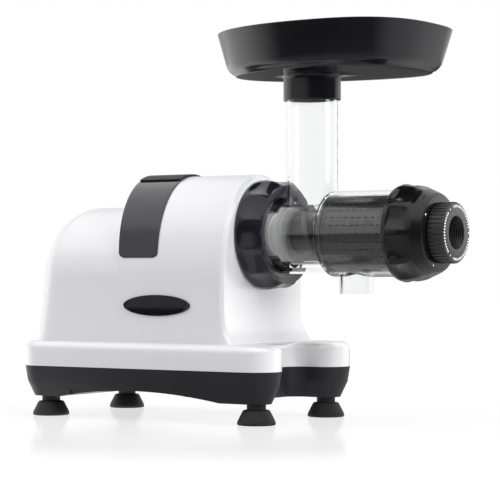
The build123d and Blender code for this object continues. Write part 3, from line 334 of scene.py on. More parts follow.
# points along a smooth line through knots, by Catmull-Rom
def smoothLine(knots, steps):
    line = []
    for i in range(len(knots) - 1):
        before = knots[max(0, i - 1)]
        start, end = knots[i], knots[i + 1]
        after = knots[min(len(knots) - 1, i + 2)]
        for k in range(steps):
            t = k / steps
            line.append(tuple(
                0.5 * (2 * b + (c - a) * t + (2 * a - 5 * b + 4 * c - d) * t**2
                       + (3 * b - a - 3 * c + d) * t**3)
                for a, b, c, d in zip(before, start, end, after)))
    line.append(tuple(knots[-1]))
    return line


def smoothStep(low, high, value):
    t = min(1, max(0, (value - low) / (high - low)))
    return t * t * (3 - 2 * t)


# the smaller of two lengths, rounded over the given width
def softMin(a, b, width):
    h = max(width - abs(a - b), 0) / width
    return min(a, b) - h * h * width / 4


def newTree(name, inputs):
    tree = bpy.data.node_groups.new(name, "GeometryNodeTree")
    tree.interface.new_socket("Geometry", in_out="INPUT", socket_type="NodeSocketGeometry")
    for label, kind in inputs:
        tree.interface.new_socket(label, in_out="INPUT", socket_type=kind)
    tree.interface.new_socket("Geometry", in_out="OUTPUT", socket_type="NodeSocketGeometry")
    return tree, tree.nodes.new("NodeGroupInput"), tree.nodes.new("NodeGroupOutput")


# runs a tree on a mesh piece and leaves its result as the piece's plain mesh
def runTree(piece, tree, values, crease=35.0):
    modifier = piece.modifiers.new(tree.name, "NODES")
    modifier.node_group = tree
    sockets = {item.name: item.identifier for item in tree.interface.items_tree if item.in_out == "INPUT"}
    for label, value in values.items():
        modifier[sockets[label]] = value
    return settle(piece, crease)


def mathNode(tree, operation, a, b=None):
    node = tree.nodes.new("ShaderNodeMath")
    node.operation = operation
    for socket, value in zip(node.inputs, (a, b)):
        if value is None:
            continue
        if isinstance(value, (int, float)):
            socket.default_value = value
        else:
            tree.links.new(value, socket)
    return node.outputs[0]


# copies of a master piece on every vertex of the host, facing along its normal
def makeCopiesTree():
    tree, start, end = newTree("copiesOnPoints", [
        ("Master", "NodeSocketObject"), ("Material", "NodeSocketMaterial"), ("Align", "NodeSocketBool")])
    master = tree.nodes.new("GeometryNodeObjectInfo")
    spread = tree.nodes.new("GeometryNodeInstanceOnPoints")
    normal = tree.nodes.new("GeometryNodeInputNormal")
    facing = tree.nodes.new("FunctionNodeAlignEulerToVector")
    facing.axis = "Z"
    turn = tree.nodes.new("ShaderNodeVectorMath")
    turn.operation = "SCALE"
    real = tree.nodes.new("GeometryNodeRealizeInstances")
    paint = tree.nodes.new("GeometryNodeSetMaterial")
    links = tree.links
    links.new(start.outputs["Master"], master.inputs["Object"])
    links.new(start.outputs["Geometry"], spread.inputs["Points"])
    links.new(master.outputs["Geometry"], spread.inputs["Instance"])
    links.new(normal.outputs["Normal"], facing.inputs["Vector"])
    links.new(facing.outputs["Rotation"], turn.inputs[0])
    links.new(start.outputs["Align"], turn.inputs["Scale"])
    links.new(turn.outputs["Vector"], spread.inputs["Rotation"])
    links.new(spread.outputs["Instances"], real.inputs["Geometry"])
    links.new(real.outputs["Geometry"], paint.inputs["Geometry"])
    links.new(start.outputs["Material"], paint.inputs["Material"])
    links.new(paint.outputs["Geometry"], end.inputs["Geometry"])
    return tree


copiesTree = makeCopiesTree()


# body shell: a tall front hood that steps down to a lower, round-cornered rear hood
bodyShell = {
    "rearX": shellLow.x, "rearLean": 7.0, "halfLow": shellHigh.y, "halfSpring": 68.0,
    "footZ": 70.0, "springZ": 130.0, "crest": shellHigh.z, "rearCrest": 195.5,
    "corner": 28.0, "seamX": shellHigh.x, "wall": 2.5,
    "stepLowX": -100.0, "stepTopX": -110.0, "stepLowZ": 147.0,
    "wallRows": 8, "archRows": 36, "flatColumns": 8, "cornerColumns": 14, "sideColumns": 18,
    "stepShares": (0.0, 0.06, 0.5, 0.94, 1.0), "hoodColumns": 24,
}


# rows up the near half of the body: wall share (0 foot, 1 spring) and arch angle
def bodyRows():
    s = bodyShell
    rows = [(i / s["wallRows"], 0.0) for i in range(s["wallRows"])]
    rows += [(1.0, radians(90) * i / s["archRows"]) for i in range(s["archRows"] + 1)]
    return rows


# half width, height and outward direction of a hood's near side
def hoodPoint(wallShare, arch, inset=0.0, crest=bodyShell["crest"]):
    s = bodyShell
    if wallShare < 1:
        left, height = 1 - wallShare, s["springZ"] - s["footZ"]
        flare = s["halfLow"] - s["halfSpring"]
        facing = Vector((0, -1, 2 * flare * left / height))
        return s["halfSpring"] + flare * left**2 - inset, s["springZ"] - height * left, facing.normalized()
    half, rise = s["halfSpring"] - inset, crest - s["springZ"] - inset
    facing = Vector((0, -cos(arch) * rise, sin(arch) * half))
    return half * cos(arch), s["springZ"] + rise * sin(arch), facing.normalized()


# where the step between the two hoods stands at a height
def stepX(z):
    s = bodyShell
    rise, run = s["crest"] - s["stepLowZ"], s["stepTopX"] - s["stepLowX"]
    return s["stepLowX"] + run * (z - s["stepLowZ"]) / rise


# a ball of the corner radius rolls round the leaning rear wall
def makeBodyShell():
    s = bodyShell
    lean = atan2(s["rearLean"], s["springZ"] - s["footZ"])
    rearward = Vector((-cos(lean), 0, sin(lean)))
    points = []
    for wallShare, arch in bodyRows():
        half, z, facing = hoodPoint(wallShare, arch, crest=s["rearCrest"])
        hoodHalf, hoodZ, _ = hoodPoint(wallShare, arch)
        ball = Vector((0, -half, z)) - facing * s["corner"]
        ball.x = s["rearX"] + tan(lean) * (ball.z - s["footZ"]) + s["corner"] / cos(lean)
        touch = ball + rearward * s["corner"]
        row = [(touch.x, touch.y * k / s["flatColumns"], touch.z) for k in range(s["flatColumns"])]
        for k in range(s["cornerColumns"]):
            row.append(tuple(ball + rearward.slerp(facing, k / s["cornerColumns"]) * s["corner"]))
        for k in range(s["sideColumns"]):
            row.append((ball.x + (stepX(z) - ball.x) * k / s["sideColumns"], -half, z))
        for share in s["stepShares"]:
            stepZ = z + (hoodZ - z) * share
            row.append((stepX(stepZ), -half + (half - hoodHalf) * share, stepZ))
        for k in range(1, s["hoodColumns"] + 1):
            share = k / s["hoodColumns"]
            row.append((stepX(hoodZ) + (s["seamX"] - stepX(hoodZ)) * share, -hoodHalf, hoodZ))
        points.append(row)
    points.insert(0, [(x - tan(lean) * (z - s["footZ"]), y, s["footZ"]) for x, y, z in points[0]])
    columns = len(points[0])
    near = [p for row in points for p in row]
    far = [(x, -y, z) for x, y, z in near]
    faces = gridFaces(len(points), columns)
    faces += [tuple(reversed([i + len(near) for i in face])) for face in faces]
    shell = addPiece("bodyShell", near + far, faces, pearlPaint, crease=40)
    addWall(shell, s["wall"], crease=40)
    return place(shell, "machine", "pearl_shell", "housing_shell")


makeBodyShell()
print("body shell ready")


# front cover: an upright face with a soft bevel, flared out at its foot
frontCover = {
    "faceX": 14.0, "footX": coverHigh.x, "flareMidZ": 80.0, "flareTopZ": 108.0,
    "bevel": ((-3.1, 0.0), (-2.8, 0.18), (-0.4, 2.7), (-0.12, 3.05), (0.0, 3.5)),
    "wall": 3.0, "hole": 41.03, "holeLip": 0.5, "bottomSteps": 26, "faceRows": 9,
}


# how far forward the face stands at a height
def faceX(z):
    c = frontCover
    if z >= c["flareTopZ"]:
        return c["faceX"]
    foot = bodyShell["footZ"]
    linear = 2 * (c["flareMidZ"] - foot)
    square = c["flareTopZ"] - 2 * c["flareMidZ"] + foot
    t = (-linear + sqrt(linear**2 + 4 * square * (z - foot))) / (2 * square)
    return c["faceX"] + (c["footX"] - c["faceX"]) * (1 - t)**2


def makeFrontCover():
    c = frontCover
    rows = bodyRows()
    outline = [(-1, share, arch) for share, arch in rows]
    outline += [(1, share, arch) for share, arch in reversed(rows[:-1])]
    points = []
    for side, share, arch in outline:
        half, z, _ = hoodPoint(share, arch)
        points.append((bodyShell["seamX"], side * half, z))
        for back, inset in c["bevel"]:
            half, z, _ = hoodPoint(share, arch, inset)
            points.append((faceX(z) + back, side * half, z))
    columns = 1 + len(c["bevel"])
    faces = gridFaces(len(outline), columns)
    rim = [points[i * columns + columns - 1] for i in range(len(outline))]
    left, right = rim[0], rim[-1]
    for k in range(1, c["bottomSteps"]):
        share = k / c["bottomSteps"]
        rim.append((left[0], right[1] + (left[1] - right[1]) * share, left[2]))
    first = len(points)
    for k in range(c["faceRows"] + 1):
        share = k / c["faceRows"]
        for x, y, z in rim:
            angle = atan2(z - axisZ, y)
            holeY, holeZ = c["hole"] * cos(angle), axisZ + c["hole"] * sin(angle)
            atY, atZ = y + (holeY - y) * share, z + (holeZ - z) * share
            points.append((faceX(atZ), atY, atZ))
    for x, y, z in rim:
        angle = atan2(z - axisZ, y)
        points.append((faceX(axisZ) - c["holeLip"], c["hole"] * cos(angle), axisZ + c["hole"] * sin(angle)))
    faces += gridFaces(c["faceRows"] + 2, len(rim), wrapColumns=True, first=first)
    cover = addPiece("frontCover", points, faces, pearlPaint, crease=50)
    addWall(cover, c["wall"], crease=40)
    return place(cover, "machine", "pearl_shell", "front_cover")


makeFrontCover()
print("front cover ready")


# grip band: a dark strip bent over the hood, with a thin pad along the crest
gripBand = {
    "lowZ": 147.0, "rearLowX": -100.0, "rearTopX": -110.0, "frontLowX": -57.0, "frontTopX": -62.0,
    "corner": 5.0, "lift": 0.02, "proud": 0.8, "edge": 0.3, "rows": 60, "columns": 14, "easing": 0.55,
    "padStart": 71.0, "padThick": 1.6, "padInset": 0.8, "padRows": 24,
}


# rear and front edge of the band at a height, with round corners at its low end
def gripEdges(z, extra=0.0):
    g = gripBand
    share = (z - g["lowZ"]) / (bodyShell["crest"] - g["lowZ"])
    rear = g["rearLowX"] + (g["rearTopX"] - g["rearLowX"]) * share + extra
    front = g["frontLowX"] + (g["frontTopX"] - g["frontLowX"]) * share - extra
    up = z - g["lowZ"]
    if up < g["corner"]:
        cut = g["corner"] - sqrt(max(0, g["corner"]**2 - (g["corner"] - up)**2))
        rear, front = rear + cut, front - cut
    return rear, front


# a sheet over the arch from one start angle to its mirror, closer rows at the two ends
def archSkin(name, startAngle, proud, inset, material, rows):
    g = gripBand
    points = []
    for i in range(rows + 1):
        share = i / rows
        eased = share - g["easing"] * sin(tau * share) / tau
        angle = startAngle + (pi - 2 * startAngle) * eased
        height = bodyShell["crest"] - bodyShell["springZ"]
        y = -(bodyShell["halfSpring"] + proud) * cos(angle)
        z = bodyShell["springZ"] + (height + proud) * sin(angle)
        rear, front = gripEdges(bodyShell["springZ"] + height * sin(angle), inset)
        points += [(rear + (front - rear) * j / g["columns"], y, z) for j in range(g["columns"] + 1)]
    return addPiece(name, points, gridFaces(rows + 1, g["columns"] + 1), material, crease=40)


def makeGripBand():
    g = gripBand
    lowAngle = asin((g["lowZ"] - bodyShell["springZ"]) / (bodyShell["crest"] - bodyShell["springZ"]))
    band = archSkin("gripBand", lowAngle, g["lift"], 0.0, gripGloss, g["rows"])
    addWall(band, g["proud"], outward=True)
    addBevel(band, g["edge"])
    padAngle = radians(g["padStart"])
    pad = archSkin("gripPad", padAngle, g["proud"], g["padInset"], gripRubber, g["padRows"])
    addWall(pad, g["padThick"], outward=True)
    addBevel(pad, g["edge"])
    place(pad, "machine", "grip_black")
    return place(band, "machine", "grip_black", "grip_band")


makeGripBand()
print("grip band ready")


# badge: a blank, slightly domed plate with a fine lip, on the leaning side wall
badgeSpec = {
    "centre": (-57.0, 104.0), "length": 73.0, "height": 19.0, "steps": 96,
    "layers": ((1.0, 0.0), (1.0, 1.05), (0.994, 1.4), (0.98, 1.55), (0.966, 1.4), (0.955, 1.15),
               (0.90, 1.22), (0.7, 1.36), (0.45, 1.48), (0.2, 1.55), (0.0, 1.57)),
}


def makeBadge():
    b, s = badgeSpec, bodyShell
    left = (s["springZ"] - b["centre"][1]) / (s["springZ"] - s["footZ"])
    flare = s["halfLow"] - s["halfSpring"]
    lean = atan2(2 * flare * left, s["springZ"] - s["footZ"])
    wallY = s["halfSpring"] + flare * left**2
    points = []
    for grow, height in b["layers"]:
        for k in range(b["steps"]):
            turn = tau * k / b["steps"]
            along, up = b["length"] / 2 * grow * cos(turn), b["height"] / 2 * grow * sin(turn)
            points.append((
                b["centre"][0] + along,
                -(wallY + height * cos(lean) - up * sin(lean)),
                b["centre"][1] + up * cos(lean) + height * sin(lean)))
    plate = addPiece("badgePlate", points, gridFaces(len(b["layers"]), b["steps"], wrapColumns=True),
                     badgeGloss, crease=50)
    return place(plate, "machine", "grip_black", "badge_plate")


makeBadge()
print("badge ready")


roundedCopy("base_band", "baseBand", pearlPaint, "pearl_shell", crease=30)
roundedCopy("base_tray", "baseTray", charcoal, "charcoal_base", crease=30)


# feet: one rubber cone with a flat sole, copied to the four places; the profile is (radius, height)
footSpec = {
    "profile": ((0.0, 7.0), (6.0, 7.0), (6.0, 0.6), (6.6, 0.0), (16.0, 0.0), (16.8, 0.35), (17.15, 1.1),
                (16.9, 2.6), (16.3, 4.2), (12.2, 12.2), (11.5, 13.0), (10.6, 13.3), (8.9, 13.35),
                (8.5, 13.8), (8.5, 18.45), (0.0, 18.45)),
    "steps": 72,
}


def makeFeet():
    f = footSpec
    turns = [tau * k / f["steps"] for k in range(f["steps"])]
    points = [(radius * cos(turn), radius * sin(turn), z) for radius, z in f["profile"] for turn in turns]
    faces = gridFaces(len(f["profile"]), f["steps"], wrapColumns=True)
    master = addPiece("footMaster", points, faces, footRubber)
    nodes = ["foot_rear_left", "foot_rear_right", "foot_front_left", "foot_front_right"]
    places = []
    for node in nodes:
        low, high = corners(node)
        places.append(((low.x + high.x) / 2, (low.y + high.y) / 2, low.z))
    feet = addPiece("rubberFeet", places, [], footRubber)
    runTree(feet, copiesTree, {"Master": master, "Material": footRubber, "Align": False})
    bpy.data.objects.remove(master)
    return place(feet, "machine", "foot_rubber", *nodes)


makeFeet()
print("base and feet ready")


# locking collar: twelve hollow thumb grips between sharp ridges, and a dished front
collarSpec = {
    "grips": 12, "steps": 384, "cutRadius": 55.0, "depth": 3.0, "cutStart": 2.0, "cutFade": 3.0,
    "follow": 0.85,     # how far the grips follow the rounding of the front edge
    "ridge": 0.2, "bore": 34.0, "rearBore": 41.35, "grooveEnd": 35.7, "lip": 2.0, "frontRim": 44.0,
}


def makeCollar():
    c = collarSpec
    rear, front, big = collarLow.x, collarHigh.x, collarHigh.z - axisZ
    outer = smoothLine([
        (rear, big - 2.6), (rear + 0.7, big - 0.9), (rear + 2.2, big), (rear + 7, big),
        (front - 10.5, big - 0.1), (front - 6, big - 1.1), (front - 2.2, big - 2.9),
        (front - 0.6, big - 4.0), (front, big - 5.2)], 5)
    inner = [(front, c["frontRim"] + 0.2), (front - 0.15, c["frontRim"] - 0.5),
             (front - 1.1, (c["frontRim"] + c["bore"]) / 2), (c["grooveEnd"] + c["lip"], c["bore"] + 0.5),
             (c["grooveEnd"] + c["lip"] - 0.5, c["bore"]), (c["grooveEnd"], c["bore"]),
             (c["grooveEnd"], c["rearBore"]), (rear, c["rearBore"])]

    def scalloped(x, radius, angle):
        if radius < c["frontRim"] + 0.5:
            return radius
        local = angle % (tau / c["grips"])
        local = min(local, tau / c["grips"] - local)
        depth = c["depth"] * (1 - exp(-max(0, x - rear - c["cutStart"]) / c["cutFade"]))
        if depth <= 0.02:
            return radius
        reach = big - depth + c["cutRadius"]
        across = reach * sin(local)
        cut = reach * cos(local) - sqrt(max(0, c["cutRadius"]**2 - across**2))
        cut -= c["follow"] * (big - radius)
        return max(softMin(radius, cut, c["ridge"]), c["frontRim"] + 0.6)

    collar = turnedPiece("lockingCollar", outer + inner, inkPlastic, c["steps"], scalloped, crease=38)
    return place(collar, "collar", "black_plastic", "locking_collar")


makeCollar()
roundedCopy("juicing_drum", "juicingDrum", clearPlastic, "clear_plastic", crease=17)
print("collar and drum ready")


# auger: a screw on a core, with a thrust disc and a stem at the rear and a blunt tip in front
augerSpec = {
    "core": 17.0, "flight": 26.5, "flightStart": 53.0, "flightEnd": 152.0, "turns": 2.25, "share": 0.11,
    "crest": 0.45, "growth": 22.0, "decline": 14.0, "rows": 220, "columns": 128,
    "disc": 25.5, "discThick": 4.0, "discX": 7.0, "stem": 12.97, "journal": 11.0, "edge": 0.4, "pole": 0.001,
}


# a screw whose radius is the core or the flight, by the angle past the helix
def makeAugerTree():
    tree, start, end = newTree("augerScrew", [
        ("Start", "NodeSocketFloat"), ("Length", "NodeSocketFloat"), ("Core", "NodeSocketFloat"),
        ("Flight", "NodeSocketFloat"), ("Turns", "NodeSocketFloat"), ("Share", "NodeSocketFloat"),
        ("Axis Height", "NodeSocketFloat"), ("Material", "NodeSocketMaterial")])
    links = tree.links
    read = tree.nodes.new("GeometryNodeInputPosition")
    parts = tree.nodes.new("ShaderNodeSeparateXYZ")
    links.new(read.outputs["Position"], parts.inputs[0])
    along, around = parts.outputs["X"], parts.outputs["Y"]     # 0 to 1 each
    angle = mathNode(tree, "MULTIPLY", around, tau)
    helix = mathNode(tree, "MULTIPLY", along, start.outputs["Turns"])
    phase = mathNode(tree, "SUBTRACT", around, helix)
    wrapped = mathNode(tree, "FRACT", mathNode(tree, "ADD", phase, 20.5))
    away = mathNode(tree, "ABSOLUTE", mathNode(tree, "SUBTRACT", wrapped, 0.5))
    ratio = mathNode(tree, "DIVIDE", away, start.outputs["Share"])
    ridge = tree.nodes.new("ShaderNodeMapRange")
    ridge.interpolation_type = "SMOOTHERSTEP"
    links.new(ratio, ridge.inputs["Value"])
    ridge.inputs["From Min"].default_value = augerSpec["crest"]
    ridge.inputs["From Max"].default_value = 1.0
    ridge.inputs["To Min"].default_value = 1.0
    ridge.inputs["To Max"].default_value = 0.0
    rise = mathNode(tree, "MULTIPLY", ridge.outputs["Result"],
                    mathNode(tree, "SUBTRACT", start.outputs["Flight"], start.outputs["Core"]))
    growing = mathNode(tree, "MULTIPLY", along, augerSpec["growth"])
    declining = mathNode(tree, "MULTIPLY", mathNode(tree, "SUBTRACT", 1.0, along), augerSpec["decline"])
    ends = mathNode(tree, "MINIMUM", growing, declining)
    faded = mathNode(tree, "MULTIPLY", rise, mathNode(tree, "MINIMUM", ends, 1.0))
    radius = mathNode(tree, "ADD", start.outputs["Core"], faded)
    reach = mathNode(tree, "MULTIPLY", along, start.outputs["Length"])
    x = mathNode(tree, "ADD", start.outputs["Start"], reach)
    y = mathNode(tree, "MULTIPLY", radius, mathNode(tree, "COSINE", angle))
    z = mathNode(tree, "ADD", start.outputs["Axis Height"],
                 mathNode(tree, "MULTIPLY", radius, mathNode(tree, "SINE", angle)))
    join = tree.nodes.new("ShaderNodeCombineXYZ")
    for socket, value in zip(join.inputs, (x, y, z)):
        links.new(value, socket)
    move = tree.nodes.new("GeometryNodeSetPosition")
    links.new(start.outputs["Geometry"], move.inputs["Geometry"])
    links.new(join.outputs["Vector"], move.inputs["Position"])
    weld = tree.nodes.new("GeometryNodeMergeByDistance")
    weld.inputs["Distance"].default_value = 1e-6
    links.new(move.outputs["Geometry"], weld.inputs["Geometry"])
    paint = tree.nodes.new("GeometryNodeSetMaterial")
    links.new(weld.outputs["Geometry"], paint.inputs["Geometry"])
    links.new(start.outputs["Material"], paint.inputs["Material"])
    links.new(paint.outputs["Geometry"], end.inputs["Geometry"])
    return tree


# a flat sheet of unit size that a tree wraps into a screw
def unitSheet(name, rows, columns, material):
    points = [(i / rows / mm, j / columns / mm, 0) for i in range(rows + 1) for j in range(columns + 1)]
    return addPiece(name, points, gridFaces(rows + 1, columns + 1), material, recalc=False)


def makeAuger():
    a = augerSpec
    steps = a["columns"]
    screw = unitSheet("augerScrewPart", a["rows"], steps, augerPlastic)
    runTree(screw, makeAugerTree(), {
        "Start": a["flightStart"] * mm, "Length": (a["flightEnd"] - a["flightStart"]) * mm,
        "Core": a["core"] * mm, "Flight": a["flight"] * mm, "Turns": a["turns"], "Share": a["share"],
        "Axis Height": axisZ * mm, "Material": augerPlastic})
    rear, tip = augerLow.x, augerHigh.x
    discRear, discFront = rear + a["discX"], rear + a["discX"] + a["discThick"]
    edge = a["edge"]
    hub = [(rear, a["pole"]), (rear, a["journal"] - edge), (rear + edge, a["journal"]),
           (discRear, a["journal"]), (discRear, a["disc"] - 0.6), (discRear + 0.6, a["disc"]),
           (discFront - 0.6, a["disc"]), (discFront, a["disc"] - 0.6), (discFront, a["stem"]),
           (a["flightStart"], a["stem"]), (a["flightStart"], a["core"])]
    nose = smoothLine([(a["flightEnd"], a["core"]), (a["flightEnd"] + 5, a["core"] - 2), (tip - 6, 9.0),
                       (tip - 1.2, 2.6), (tip, a["pole"])], 6)
    turns = [tau * j / steps for j in range(steps)]
    ends = []
    for label, outline in (("Hub", hub), ("Nose", nose)):
        points = []
        for x, radius in outline:
            points += [(x, radius * cos(turn), axisZ + radius * sin(turn)) for turn in turns]
        faces = gridFaces(len(outline), steps, wrapColumns=True)
        ends.append(addPiece("auger" + label, points, faces, augerPlastic, recalc=False))
    return place(joinPieces("auger", [screw] + ends, augerPlastic), "auger_train", "auger_grey", "auger")


# one piece from several, welded where they meet
def joinPieces(name, pieces, material, crease=38.0):
    work = bmesh.new()
    for piece in pieces:
        work.from_mesh(piece.data)
        bpy.data.objects.remove(piece)
    bmesh.ops.remove_doubles(work, verts=work.verts, dist=2e-6)
    bmesh.ops.dissolve_degenerate(work, edges=work.edges, dist=1e-6)
    bmesh.ops.recalc_face_normals(work, faces=work.faces)
    mesh = bpy.data.meshes.new(name)
    work.to_mesh(mesh)
    work.free()
    mesh.materials.append(material)
    softenMesh(mesh, crease)
    piece = bpy.data.objects.new(name, mesh)
    scene.collection.objects.link(piece)
    return piece


makeAuger()


# blends a finish's colour towards another one where the factor is 1
def blendColour(material, factor, colour):
    nodes, links = material.node_tree.nodes, material.node_tree.links
    base = nodes["Principled BSDF"].inputs["Base Color"]
    mix = nodes.new("ShaderNodeMix")
    mix.data_type = "RGBA"
    mix.inputs[7].default_value = (*colour, 1)
    links.new(factor, mix.inputs[0])
    links.new(base.links[0].from_socket, mix.inputs[6])
    links.new(mix.outputs[2], base)


# a point's X, Y and Z on the piece
def objectParts(material):
    nodes, links = material.node_tree.nodes, material.node_tree.links
    coords = nodes.new("ShaderNodeTexCoord")
    parts = nodes.new("ShaderNodeSeparateXYZ")
    links.new(coords.outputs["Object"], parts.inputs[0])
    return parts.outputs


# milky sleeve on the auger's stem, with two shallow rings and painted shade that darkens it towards the drum
sleeveSpec = {
    "outer": 24.5, "bore": 13.0, "edge": 0.5, "steps": 128,
    "groove": 0.35, "grooveWidth": 1.2, "grooveShares": (0.33, 0.8),
    "shadeStart": 0.55, "shadeColour": (0.16, 0.16, 0.165),
}


def makeSleeve():
    s = sleeveSpec
    low, high = corners("auger_sleeve")
    outline = [(low.x, s["bore"]), (low.x, s["outer"] - s["edge"]), (low.x + s["edge"], s["outer"])]
    for share in s["grooveShares"]:
        middle = low.x + (high.x - low.x) * share
        for step, depth in ((-0.5, 0.0), (-0.25, 1.0), (0.25, 1.0), (0.5, 0.0)):
            outline.append((middle + step * s["grooveWidth"], s["outer"] - s["groove"] * depth))
    outline += [(high.x - s["edge"], s["outer"]), (high.x, s["outer"] - s["edge"]), (high.x, s["bore"])]
    sleeve = turnedPiece("augerSleeve", outline, milkyNylon, s["steps"])
    nodes, links = milkyNylon.node_tree.nodes, milkyNylon.node_tree.links
    # painted shade: the sleeve's colour darkens from here to its front end, by the drum
    start = low.x + (high.x - low.x) * s["shadeStart"]
    along = rangeNode(nodes, links, objectParts(milkyNylon)["X"], start * mm, high.x * mm)
    blendColour(milkyNylon, along, s["shadeColour"])
    return place(sleeve, "auger_train", "milky_nylon", "auger_sleeve")


makeSleeve()
print("auger ready")


# screen: a tube with fine slots in rows, between two flanges
screenSpec = {
    "radius": 33.5, "wall": 2.0, "slotsAround": 30, "cellsPerSlot": 6, "slotRows": 10, "slotCells": 3,
    "endRows": 3, "ring": 0.2, "flange": 34.9, "flangeLength": 2.6, "flangeEdge": 0.3, "lap": 0.1,
}


# tube with real slots: cells of a grid left out, then given a wall
def makeScreen():
    s = screenSpec
    rear, front = screenLow.x, screenHigh.x
    columns = s["slotsAround"] * s["cellsPerSlot"]
    pitch = s["slotCells"] + 1
    rows = s["slotRows"] * pitch + s["endRows"]
    inset = s["flangeLength"] - s["lap"]
    points = []
    for i in range(rows + 1):
        x = rear + inset + (front - rear - 2 * inset) * i / rows
        proud = s["ring"] if (i - 1) % pitch == 0 else 0
        for j in range(columns):
            angle = tau * j / columns
            radius = s["radius"] - s["ring"] + proud
            points.append((x, radius * cos(angle), axisZ + radius * sin(angle)))
    faces = []
    for number, face in enumerate(gridFaces(rows + 1, columns, wrapColumns=True)):
        i, j = divmod(number, columns)
        inLine = j % s["cellsPerSlot"] == 0 and 2 <= i < rows - 2
        if not (inLine and (i - 1) % pitch < s["slotCells"]):
            faces.append(face)
    tube = addPiece("screenTube", points, faces, screenPlastic)
    addWall(tube, s["wall"])
    rings = []
    inside, edge = s["radius"] - s["wall"], s["flangeEdge"]
    for x0, x1 in ((rear, rear + s["flangeLength"]), (front - s["flangeLength"], front)):
        outline = [(x0, inside), (x0, s["flange"] - edge), (x0 + edge, s["flange"]),
                   (x1 - edge, s["flange"]), (x1, s["flange"] - edge), (x1, inside)]
        rings.append(turnedPiece("screenRing", outline, screenPlastic))
    screen = joinPieces("juicingScreen", [tube] + rings, screenPlastic, crease=30)
    return place(screen, "machine", "screen_grey", "juicing_screen")


makeScreen()
print("screen ready")


# end cap: ten hollow flutes, deep near the rear rim, that run out towards the front
capSpec = {
    "lobes": 10, "steps": 480, "cutRadius": 26.0, "cutDepth": 3.7, "firstCut": 18.0, "ridge": 0.5,
    "fadeIn": (3.5, 7.0), "fadeOut": (28.0, 3.0),    # from the rear rim and from the front rim
    "big": 43.5, "rearRadius": 41.8, "frontRadius": 34.0, "bore": 38.35, "leastWall": 0.4,
    "plate": 5.0, "plateX": 20.65, "shankBore": 22.35, "throat": 15.5, "setBack": 0.12,
}


def makeEndCap():
    c = capSpec
    rear, front, big = capLow.x, capHigh.x - c["setBack"], c["big"]
    outer = smoothLine([
        (rear, c["rearRadius"] - 0.8), (rear + 0.4, c["rearRadius"]), (rear + 3.4, big - 0.9),
        (rear + 4.2, big - 0.5), (rear + 9, big), (rear + 18, big - 1.6), (rear + 24, big - 4.2),
        (front - 5, c["frontRadius"] + 2.4), (front - 1.6, c["frontRadius"] + 0.7),
        (front - 0.4, c["frontRadius"] - 0.3), (front, c["frontRadius"] - 1.2)], 6)
    plateX = capHigh.x - c["plateX"]
    inner = [(front, c["shankBore"] + 0.5), (front - 0.5, c["shankBore"]),
             (plateX + c["plate"], c["shankBore"]), (plateX + c["plate"], c["throat"]),
             (plateX, c["throat"] - 2), (plateX, c["bore"]), (rear, c["bore"])]

    def lobed(x, radius, angle):
        if radius < c["frontRadius"] - 1.5 or x < front - 6 and radius <= c["bore"]:
            return radius
        local = (angle - radians(c["firstCut"])) % (tau / c["lobes"])
        local = min(local, tau / c["lobes"] - local)
        reach = radius + c["cutRadius"] - c["cutDepth"]
        across = reach * sin(local)
        cut = reach * cos(local) - sqrt(max(0, c["cutRadius"]**2 - across**2))
        fade = smoothStep(rear + c["fadeIn"][0], rear + c["fadeIn"][1], x)
        fade *= 1 - smoothStep(front - c["fadeOut"][0], front - c["fadeOut"][1], x)
        least = c["bore"] + c["leastWall"] if x < plateX else 0
        return max(least, radius - fade * (radius - softMin(radius, cut, c["ridge"])))

    cap = turnedPiece("endCap", outer + inner, capPlastic, c["steps"], lobed, crease=38)
    return place(cap, "cap", "black_plastic", "end_cap")


makeEndCap()


# dial: a ribbed knob round a threaded mouth
dialSpec = {
    "radius": 26.6, "bore": 14.3, "shank": 22.0, "steps": 160, "setBack": 0.12, "gap": 0.35,
    "ribs": 40, "ribRadius": 1.15, "ribDepth": 0.86, "ribSides": 9, "ribRise": 0.75, "ribSink": 0.1,
    "threads": 5, "threadDepth": 0.45, "boreLength": 10.0, "nozzleRoom": 18.35, "roomLength": 11.35,
    "ticks": 56, "tickShare": 0.5, "tickGap": (0.03, 0.03, 0.03),
}


